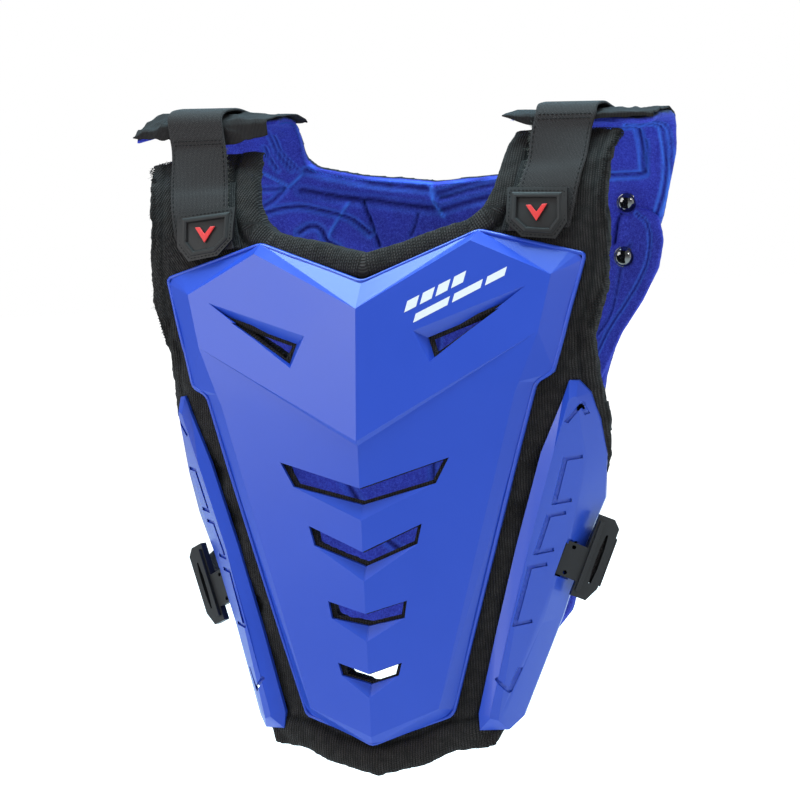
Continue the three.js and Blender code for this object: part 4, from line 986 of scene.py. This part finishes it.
def thread_row(name, line, lift, length, gap, radius, material, lean=0.0):
    """A row of stitches along a line, each a short arched thread."""
    line, lift = np.asarray(line, float), unit(lift)
    run = run_along(line)
    points, faces = [], []
    around, stations = 6, 5
    start = gap / 2
    random = np.random.default_rng(len(line))
    while start + length < run[-1]:
        at = start + np.linspace(0, length, stations)
        spine = looked_up(at, run, line)
        up = unit(looked_up(at, run, lift))
        along = unit(spine[-1] - spine[0])
        side = unit(np.cross(along, up))
        spine = spine + side * (np.linspace(-0.5, 0.5, stations) * length * lean)[:, None]
        arch = np.sin(np.linspace(0, math.pi, stations)) * radius * random.uniform(0.8, 1.2)
        base = len(points)
        for k in range(stations):
            thick = radius * (0.55 if k in (0, stations - 1) else 1.0)
            for m in range(around):
                angle = 2 * math.pi * m / around
                points.append(spine[k] + up[k] * (arch[k] - radius * 0.3 + math.sin(angle) * thick)
                              + side[k] * math.cos(angle) * thick)
        faces += [tuple(base + i for i in face) for face in tube_faces(stations, around)]
        start += length + gap * random.uniform(0.8, 1.2)
    return make_piece(name, points, faces, material)


def loops_over_edge(name, line, inward, lift, deep, pitch, radius, material, seed):
    """Overlock: thread loops wound over a fabric edge."""
    line, inward, lift = np.asarray(line, float), unit(inward), unit(lift)
    deep = np.broadcast_to(deep, len(line))
    run = run_along(line)
    random = np.random.default_rng(seed)
    points, faces = [], []
    around = 5
    for start in np.arange(pitch, run[-1] - pitch, pitch):
        edge, into, up = (looked_up(start, run, table) for table in (line, inward, lift))
        into, up = unit(into), unit(up)
        thick = np.interp(start, run, deep)
        along = unit(np.cross(into, up))
        bite = random.uniform(2.2, 3.8)
        skew = random.uniform(-0.6, 0.6)
        spine = np.array([
            edge + into * bite + up * 0.2 + along * skew, edge + into * 0.8 + up * 0.7,
            edge - into * 0.6 - up * thick * 0.25, edge - into * 0.6 - up * thick * 0.75,
            edge + into * 0.8 - up * (thick + 0.7), edge + into * bite - up * (thick + 0.2) + along * skew,
        ])
        direction = unit(np.gradient(spine, axis=0))
        first = unit(np.cross(direction, along))
        base = len(points)
        for k in range(len(spine)):
            for m in range(around):
                angle = 2 * math.pi * m / around
                points.append(spine[k] + radius * (first[k] * math.cos(angle) + along * math.sin(angle)))
        faces += [tuple(base + i for i in face) for face in tube_faces(len(spine), around)]
    return make_piece(name, points, faces, material)


def loose_fibres(name, line, away, count, reach, material, seed):
    """Short stray fibres standing off a worn edge."""
    line, away = np.asarray(line, float), unit(away)
    run = run_along(line)
    random = np.random.default_rng(seed)
    points, faces = [], []
    for at in random.uniform(0, run[-1], count):
        root = looked_up(at, run, line)
        out_here = unit(looked_up(at, run, away))
        lean = unit(out_here + random.normal(size=3) * 0.7)
        curl = random.normal(size=3) * 0.35
        length = reach * random.uniform(0.35, 1.0)
        spine = [root + lean * length * t + curl * length * t * t for t in (0.0, 0.5, 1.0)]
        side = unit(np.cross(lean, (0.3, 0.5, 0.8)))
        up = np.cross(lean, side)
        base = len(points)
        for k, thick in enumerate((0.12, 0.1, 0.04)):
            for m in range(3):
                angle = 2 * math.pi * m / 3
                points.append(spine[k] + thick * (side * math.cos(angle) + up * math.sin(angle)))
        faces += [tuple(base + i for i in face) for face in tube_faces(3, 3)]
    return make_piece(name, points, faces, material)


def on_pad(line, side, proud):
    """A line laid on the face of the chest pad."""
    return np.array([(side * x, float(pad_face(x, z)) - proud, z) for x, z in line])


def patch_loop(sign, shrink, proud):
    """Outline of a patch, shrunk, at a height on the strap."""
    loop = []
    for across, up in patch_rows:
        x = strap_low - across * (patch_width - 2 * shrink)
        z = -patch_down * vest_height + up * (patch_height - 2 * shrink)
        y = float(pad_face(x, z)) - 3 * pad_gap - tape_thickness - strap_thickness - proud
        loop.append((sign * x, y, z))
    return np.array(loop)


forward = (0.0, -1.0, 0.0)
for side, sign in SIDES:
    inner, outer, lift = strap_edges(sign)
    ribbon(f"shoulder_webbing_{side}", inner, outer, lift, strap_thickness, STRAP, "webbing",
           f"shoulder_strap_{side}", seed=31)
    tape = tape_edges(sign)
    ribbon(f"hook_strip_{side}", *tape, tape_thickness, HOOKS, "hook_tape", f"hook_tape_{side}", seed=32)
    top = inner + lift * (strap_thickness + 0.1)
    top_outer = outer + lift * (strap_thickness + 0.1)
    cross = int(np.argmin(np.abs(inner[:, 2] - cross_stitch_height) + 3 * (inner[:, 1] > -15) * 100))
    shares = np.linspace(0.05, 0.95, 40)[:, None]
    for count, shift in enumerate((0, 2)):
        line = top[cross + shift] + shares * (top_outer[cross + shift] - top[cross + shift])
        thread_row(f"strap_cross_stitch_{side}_{count}", line, np.tile(lift[cross], (40, 1)), 2.0, 0.9, 0.28,
                   DARK_THREAD)
    inset = unit(outer - inner) * 2.2
    low = slice(8, cross)
    thread_row(f"strap_edge_stitch_{side}_inner", (top + inset)[low], lift[low], 2.2, 1.4, 0.26,
               DARK_THREAD, 0.15)
    thread_row(f"strap_edge_stitch_{side}_outer", (top_outer - inset)[low], lift[low], 2.2, 1.4, 0.26,
               DARK_THREAD, 0.15)
    worn_line = (inner + lift * 0.6 - unit(outer - inner) * 0.4)[6:cross]
    thread_row(f"strap_layer_thread_{side}", worn_line, lift[6:cross], 1.5, 2.6, 0.3,
               GREY_THREAD, 0.5)
    loose_fibres(f"strap_fibres_{side}", worn_line, -unit(outer - inner)[6:cross], 60, 3.0,
                 GREY_THREAD, 40 + sign)

    bezel = [patch_loop(sign, s, h) for s, h in ((3.4, 2.9), (4.0, 3.7), (5.4, 3.9), (6.6, 3.7), (7.2, 1.7))]
    ring = make_piece(f"patch_bezel_{side}", np.vstack(bezel), tube_faces(len(bezel), len(patch_rows), False),
                      RUBBER, smooth=False)
    wall = ring.modifiers.new("wall", "SOLIDIFY")
    wall.thickness = 0.6 * MM
    wall.offset = 0.0
    edge = ring.modifiers.new("rounded edges", "BEVEL")
    edge.width = 0.2 * MM
    edge.segments = 2
    loop = patch_loop(sign, 1.9, 3.5)
    closed = smooth_straight(np.vstack([loop, loop[:1]]), 1.0)
    thread_row(f"patch_stitches_{side}", closed, np.tile(forward, (len(closed), 1)), 1.7, 1.1, 0.27,
               DARK_THREAD)


# Side straps: webbing relaxed round the part's own path

for side, sign in SIDES:
    strap = bpy.data.objects.new(f"side_webbing_{side}", cad_nodes[f"side_strap_{side}"].data.copy())
    bpy.context.scene.collection.objects.link(strap)
    welded(strap)
    edges = strap.modifiers.new("selvedges", "BEVEL")
    edges.width = 0.6 * MM
    edges.segments = 2
    rounder = strap.modifiers.new("rounder", "SUBSURF")
    rounder.levels = rounder.render_levels = 3
    frozen(strap)
    strap.data.materials.clear()
    strap.data.materials.append(STRAP)
    strap.data.shade_smooth()
    points = corners_of(strap.data)
    x, y, z = points.T
    set_cloth(strap.data, np.stack([z, y - sign * x, 0 * x], axis=1))
    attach(strap, "root")
    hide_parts(f"side_strap_{side}")


# Rivets turned about their own axes

def turned_piece(name, base, axis, profile, material, replaces, sides=40):
    """A piece turned round an axis, from radius and height along it."""
    base, axis = np.asarray(base, float), unit(axis)
    side = unit(np.cross(axis, (0.0, 0.0, 1.0)))
    other = np.cross(axis, side)
    points = []
    for radius, high in profile:
        for k in range(sides):
            angle = 2 * math.pi * k / sides
            points.append(base + axis * high + radius * (side * math.cos(angle) + other * math.sin(angle)))
    piece = make_piece(name, points, tube_faces(len(profile), sides), material)
    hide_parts(replaces)
    return piece


rivet_outer = back_pad_thickness + 3 * pad_gap + shell_wall
for side, sign in SIDES:
    for level, row, under in rivet_rows:
        base = back_point(sign * rivet_across * back_half_width, row, 0.0)
        axis = back_point(sign * rivet_across * back_half_width, row, 1.0) - base
        floor_at = -under - pad_gap
        dome = [(max(7.0 * math.cos(a), 0.05), floor_at - 0.9 - 4.1 * math.sin(a))
                for a in np.linspace(math.pi / 2, 0, 14)]
        profile = dome + [
            (7.3, floor_at - 0.9), (7.5, floor_at - 0.7), (7.5, floor_at - 0.1), (7.2, floor_at),
            (2.5, floor_at), (2.5, rivet_outer), (5.2, rivet_outer), (5.5, rivet_outer + 0.3),
            (5.5, rivet_outer + 1.4), (5.0, rivet_outer + 2.0), (0.05, rivet_outer + 2.0),
        ]
        turned_piece(f"rivet_{level}_{side}", base, axis, profile, RIVET,
                     f"rivet_{side}_{level}")


# Edges of the pads: overlock, hem lines and stray fibres

for side, sign in SIDES:
    edge = smooth_path(np.vstack([tab_line, side_line[1:]]), 2.0)
    line = on_pad(edge, sign, 0.2)
    steep = np.abs(np.gradient(edge[:, 1]))
    inward = np.stack([-sign * steep, 0 * steep, np.where(edge[:, 1] > -14, -1.0, 0.0)], axis=1)
    deep = 7 + 6 * np.clip(-edge[:, 1] / vest_height / 0.12, 0, 1)
    lift = np.tile(forward, (len(line), 1))
    tabs = edge[:, 1] > -150
    tucked = line + unit(inward) * 1.6
    loops_over_edge(f"pad_overlock_{side}", tucked[tabs], inward[tabs], lift[tabs], deep[tabs], 2.1, 0.34,
                    DARK_THREAD, 50 + sign)
    loose_fibres(f"pad_fibres_{side}", tucked, -unit(inward), 200, 2.6,
                 DARK_THREAD, 52 + sign)

hem_points = on_pad(smooth_path(hem_line, 3.0), 1, -5.0)
loose_fibres("hem_fibres", hem_points, np.tile((0.0, -0.2, -1.0), (len(hem_points), 1)), 110, 1.8,
             DARK_THREAD, 61)

back_edge = smooth_path([(x, float(run_of(row))) for x, row in back_neck_rows], 2.5)
back_edge_rows = np.interp(back_edge[:, 1], row_run, row_steps)
for side, sign in SIDES:
    line = back_point(sign * back_edge[:, 0], back_edge_rows, 0.6)
    outwards = back_point(sign * (back_edge[:, 0] - 3), back_edge_rows - 0.12, 0.6) - line
    lift = line - back_point(sign * back_edge[:, 0], back_edge_rows, 1.6)
    thread_row(f"fleece_edge_thread_{side}", line, lift, 2.0, 0.8, 0.35, BLUE_THREAD, 0.4)
    loose_fibres(f"fleece_fibres_{side}", line, outwards, 420, 1.8, BLUE_THREAD, 70 + sign)


# Black fabric folded over the back's shoulder tabs

def tab_cover(side, sign, drops, fold, seed):
    """Fabric over a tab: how far its front edge drops, how deep its folds are."""
    stations = 56
    rows = np.concatenate([np.linspace(4.2, 0.0, 40), np.linspace(0.0, -1.0, 17)[1:]])
    shares = np.linspace(0, 1, stations)
    drop = np.interp(shares, *np.transpose(drops))
    points, coords = [], []
    for step, row in enumerate(rows):
        spare = max(-row, 0.0)
        flat = back_point(sign * tab_reach(shares), max(row, 0.0), tab_thickness)
        flat[:, 1] -= 2.4 * min(spare * 5, 1)
        flat[:, 2] -= spare * drop + tab_sag(sign, shares, row)
        points.append(flat)
        coords.append(np.stack([tab_reach(shares), np.full(stations, step * 2.0), np.zeros(stations)], axis=1))
    points = np.vstack(points)
    across = np.tile(shares, len(rows))
    creased = ripple(np.stack([points[:, 0] * 1.6, points[:, 1] * 0.5 + points[:, 2]], axis=1), 26.0, seed)
    ridge = np.clip((1 - np.abs(creased)) ** 2, 0, 1)
    points[:, 2] += np.minimum(0.9 + fold * ridge * np.clip(across * 3, 0.3, 1), 3.4)
    points[:, 1] -= 0.5 * fold * ridge * (points[:, 1] < -2)
    starts = [r * stations + k for r in range(len(rows) - 1) for k in range(stations - 1)]
    faces = [(start, start + 1, start + stations + 1, start + stations) for start in starts]
    cover = make_piece(f"tab_cover_{side}", points, faces, LINING, np.vstack(coords))
    wall = cover.modifiers.new("thickness", "SOLIDIFY")
    wall.thickness = 0.9 * MM
    wall.offset = 0.0
    return cover


left_drops = ((0, 11.0), (0.25, 17.0), (0.45, 18.0), (0.7, 13.0), (0.88, 7.0), (1, 0.6))
right_drops = ((0, 0.6), (0.2, 8.0), (0.5, 6.0), (0.75, 3.0), (1, 2.5))
tab_cover("left", -1, left_drops, 2.6, 5)
tab_cover("right", 1, right_drops, 1.4, 8)


# Lip round the chest plate

def rounded_loop(corners, radius, step):
    """Closed loop with rounded corners in even steps."""
    corners = np.asarray(corners, float)
    loop = []
    for k, corner in enumerate(corners):
        before, after = corners[k - 1], corners[(k + 1) % len(corners)]
        start = corner + unit(before - corner) * radius
        end = corner + unit(after - corner) * radius
        for t in np.linspace(0, 1, 6):
            loop.append((1 - t) ** 2 * start + 2 * t * (1 - t) * corner + t * t * end)
    return smooth_straight(np.vstack([loop, loop[:1]]), step)[:-1]


def hoop_faces(rings, around):
    """Faces between rings of corners that close on themselves both ways."""
    faces = []
    for r in range(rings):
        s = (r + 1) % rings
        for k in range(around):
            m = (k + 1) % around
            faces.append((r * around + k, r * around + m, s * around + m, s * around + k))
    return faces


def plate_lip():
    """Raised lip that follows the plate's rim."""
    half = placed(plate_rim_rows, plate_half_width)
    outline = np.vstack([half, half[-2:0:-1] * (-1, 1)])
    loop = rounded_loop(outline, 4.0, 2.5)
    tip = np.clip(1 - np.hypot(loop[:, 0], loop[:, 1] + plate_tip * vest_height) / 24, 0, 1)
    centre = loop.mean(axis=0)
    inward = unit(np.roll(loop, 1, axis=0) - np.roll(loop, -1, axis=0))[:, ::-1] * (1, -1)
    inward *= np.sign(np.einsum("ij,ij->i", inward, centre - loop))[:, None]
    points = []
    profile = [(-0.3, 2.6), (-0.5, 0.4), (-0.3, -1.1), (0.5, -1.6), (1.4, -1.4), (1.9, -0.6), (2.1, 0.6)]
    for k, (x, z) in enumerate(loop):
        for into, up in profile:
            px, pz = x + inward[k, 0] * into, z + inward[k, 1] * into
            y = float(chest_y(px, pz)) + up - plate_tip_rise * tip[k]
            points.append((px, y, pz))
    return make_piece("plate_lip", points, hoop_faces(len(loop), len(profile)), SHELL)


plate_lip()


# Knit round the windows and slots, behind the plate

def surface_of(node):
    """The facets of a solid of the part, to look for places on it."""
    mesh = cad_nodes[node].data
    return BVHTree.FromPolygons([corner.co.copy() for corner in mesh.vertices],
                                [tuple(face.vertices) for face in mesh.polygons])


def front_of(surface, x, z):
    """How far forward a surface lies at a place, or nothing where there is a hole."""
    hit = surface.ray_cast(Vector((x * MM, look_from, z * MM)), Vector((0, 1, 0)))[0]
    return None if hit is None else hit.y / MM


look_from = -0.3
plate_surface = surface_of("front_shell")


def inset_loop(loop, widths):
    """Closed loop with each edge moved inwards by its own width."""
    loop = np.asarray(loop, float)
    ahead = np.roll(loop, -1, axis=0)
    area = np.sum(loop[:, 0] * ahead[:, 1] - ahead[:, 0] * loop[:, 1])
    edges = unit(ahead - loop)
    inward = np.stack([-edges[:, 1], edges[:, 0]], axis=1) * np.sign(area)
    moved = []
    for k, corner in enumerate(loop):
        sides = np.stack([inward[k - 1], inward[k]])
        moved.append(corner + np.linalg.solve(sides, (widths[k - 1], widths[k])))
    return np.array(moved)


def vent_lining(name, loop, widths):
    """Black knit round a vent, just behind the plate."""
    seat = inset_loop(loop, np.full(len(loop), -0.8))
    depth = np.array([front_of(plate_surface, x, z) for x, z in seat]) + shell_wall + 0.4
    outer = inset_loop(loop, np.full(len(loop), -2.0))
    inner = inset_loop(loop, widths)
    rings = [(outer, 0.0), (inner, 0.0), (inner, 1.4), (outer, 1.4)]
    points = np.vstack([np.stack([ring[:, 0], depth + back, ring[:, 1]], axis=1) for ring, back in rings])
    return make_piece(name, points, hoop_faces(len(rings), len(loop)), KNITTED,
                      points[:, [0, 2, 1]], smooth=False)


for side, sign in SIDES:
    loop = placed(window_rows, plate_half_width) * (sign, 1)
    vent_lining(f"window_lining_{side}", loop, (3.0, 3.0, 1.0))
for count, (tip, tip_down, low, low_down, top, bottom) in enumerate(chevron_rows, 1):
    corners = (-tip, tip_down), (0, top), (tip, tip_down), (low, low_down), (0, bottom), (-low, low_down)
    loop = placed(corners, plate_half_width)
    deep = 1.2 if count == len(chevron_rows) else 2.4
    vent_lining(f"slot_lining_{count}", loop, (0.8, 0.8, 3.2, deep, deep, 3.2))


# Floors behind the grooves of the wings

floor_pitch, floor_depth, floor_rim = 1.0, 1.9, 1
groove_reach = 4


def over_holes(front):
    """A grid of depths with its narrow holes bridged from the nearest cells on both sides."""
    filled = front.copy()
    for i, j in np.argwhere(np.isnan(front)):
        bridges = []
        for a, b in ((1, 0), (0, 1), (1, 1), (1, -1)):
            ends = []
            for step in (-1, 1):
                for far in range(1, groove_reach):
                    u, v = i + a * step * far, j + b * step * far
                    if 0 <= u < front.shape[0] and 0 <= v < front.shape[1] and not np.isnan(front[u, v]):
                        ends.append(front[u, v])
                        break
            if len(ends) == 2:
                bridges.append(sum(ends) / 2)
        if bridges:
            filled[i, j] = max(bridges)
    return filled


def wing_floor(side):
    """Recessed floor behind the grooves of a wing, a sheet inside the wing's own wall."""
    surface = surface_of(f"wing_{side}")
    corners = corners_of(cad_nodes[f"wing_{side}"].data)
    low, high = corners.min(axis=0), corners.max(axis=0)
    across = np.arange(low[0], high[0], floor_pitch)
    down = np.arange(low[2], high[2], floor_pitch)
    front = np.full((len(across), len(down)), np.nan)
    for i, x in enumerate(across):
        for j, z in enumerate(down):
            found = front_of(surface, x, z)
            if found is not None:
                front[i, j] = found
    filled = over_holes(front)
    inner = ~np.isnan(filled)
    for _ in range(floor_rim):
        ringed = np.pad(inner, 1)
        inner = inner & ringed[2:, 1:-1] & ringed[:-2, 1:-1] & ringed[1:-1, 2:] & ringed[1:-1, :-2]
    index = -np.ones(inner.shape, int)
    index[inner] = np.arange(inner.sum())
    places = np.argwhere(inner)
    points = [(across[i], filled[i, j] + floor_depth, down[j]) for i, j in places]
    faces = []
    for i, j in places:
        cell = (i, j), (i + 1, j), (i + 1, j + 1), (i, j + 1)
        if all(u < inner.shape[0] and v < inner.shape[1] and inner[u, v] for u, v in cell):
            faces.append(tuple(int(index[u, v]) for u, v in cell))
    return make_piece(f"wing_groove_floor_{side}", points, faces, SHELL)


for side, _ in SIDES:
    wing_floor(side)


# Print on the upper field of the chest plate

def print_stripes():
    """Plain slanted stripes on the upper field."""
    points, faces = [], []
    rise = math.tan(print_climb)
    for left, right, low, tall in print_bars:
        base, lean = len(points), print_lean * tall
        for proud in (print_front, print_back):
            for x, up in ((left, 0), (right, 0), (right + lean, tall), (left + lean, tall)):
                z = low + rise * (x - left) + up
                slope = field_facing[0] * (x - field_point[0]) + field_facing[2] * (z - field_point[2])
                points.append((x, field_point[1] - slope / field_facing[1] - proud, z))
        faces += [(base, base + 1, base + 2, base + 3), (base + 7, base + 6, base + 5, base + 4)]
        faces += [(base + k, base + 4 + k, base + 4 + (k + 1) % 4, base + (k + 1) % 4) for k in range(4)]
    return make_piece("print_stripes", points, faces, PRINT, smooth=False)


print_stripes()


# Camera, light and floor

def studio():
    """Camera at the photograph's angle, softboxes, a white room and a pale floor."""
    a, e = math.radians(camera_azimuth), math.radians(camera_elevation)
    back = Vector((math.sin(a) * math.cos(e), -math.cos(a) * math.cos(e), math.sin(e)))
    data = bpy.data.cameras.new("camera")
    data.lens = lens_mm
    data.sensor_width = sensor_mm
    data.clip_start = 0.05
    camera = bpy.data.objects.new("camera", data)
    bpy.context.scene.collection.objects.link(camera)
    right = (-back).cross(Vector((0, 0, 1))).normalized()
    up = right.cross(-back)
    roll = math.radians(camera_roll)
    c, s = math.cos(roll), math.sin(roll)
    right, up = right * c - up * s, up * c + right * s
    stand = Matrix((right, up, back)).transposed().to_4x4()
    stand.translation = Vector(camera_target) * MM + back * camera_distance * MM
    camera.matrix_world = stand
    bpy.context.scene.camera = camera

    def softbox(name, where, size, power, colour=(1, 1, 1)):
        light = bpy.data.lights.new(name, "AREA")
        light.shape = "RECTANGLE"
        light.size, light.size_y = size
        light.energy = power
        light.color = colour
        box = bpy.data.objects.new(name, light)
        box.location = where
        box.rotation_euler = (Vector(where) - Vector((0, 0, -0.2))).to_track_quat("Z", "Y").to_euler()
        box.visible_camera = False
        bpy.context.scene.collection.objects.link(box)

    softbox("top softbox", (0.0, 0.1, 1.4), (1.6, 1.0), 52, (0.6, 0.9, 1.0))
    softbox("left softbox", (-1.4, -1.3, 0.45), (0.9, 1.4), 11.5)
    softbox("right fill", (1.7, -0.9, 0.3), (0.6, 1.4), 2.4)
    softbox("back panel", (-0.3, 1.6, 0.5), (2.6, 1.6), 24, (0.3, 0.72, 1.0))
    softbox("left spark", (-0.8, -1.5, 0.5), (0.25, 0.25), 2.5)
    softbox("right spark", (1.2, -1.2, 0.5), (0.2, 0.3), 3)

    world = bpy.data.worlds.new("studio")
    world.use_nodes = True
    bpy.context.scene.world = world
    make = Tree(world.node_tree)
    world.node_tree.nodes.clear()
    ambient = make.add("ShaderNodeBackground")
    ambient.inputs["Color"].default_value = grade(0.92, 0.96, 1.0)
    ambient.inputs["Strength"].default_value = 0.3
    bright = make.add("ShaderNodeBackground")
    bright.inputs["Color"].default_value = grade(1, 1, 1)
    bright.inputs["Strength"].default_value = 1.0
    mix = make.add("ShaderNodeMixShader")
    make.join(make.add("ShaderNodeLightPath").outputs["Is Camera Ray"], mix.inputs[0])
    make.join(ambient.outputs[0], mix.inputs[1])
    make.join(bright.outputs[0], mix.inputs[2])
    make.join(mix.outputs[0], make.add("ShaderNodeOutputWorld").inputs[0])

    floor_mesh = bpy.data.meshes.new("floor")
    reach = 9.0
    z = floor_height * MM
    floor_corners = [(-reach, -reach, z), (reach, -reach, z), (reach, reach, z), (-reach, reach, z)]
    floor_mesh.from_pydata(floor_corners, [], [(0, 1, 2, 3)])
    material, make, shader = finish_of("pale floor", 0.95, Specular_IOR_Level=0.1)
    shader.inputs["Base Color"].default_value = grade(0.7, 0.7, 0.7)
    seen = make.add("ShaderNodeLightPath").outputs["Is Camera Ray"]
    make.join(make.blend(seen, grade(0.3, 0.3, 0.3), grade(1, 1, 1)), shader.inputs["Emission Color"])
    shader.inputs["Emission Strength"].default_value = 1.0
    floor_mesh.materials.append(material)
    floor = bpy.data.objects.new("floor", floor_mesh)
    bpy.context.scene.collection.objects.link(floor)
    bpy.context.scene.view_settings.view_transform = "Standard"


studio()
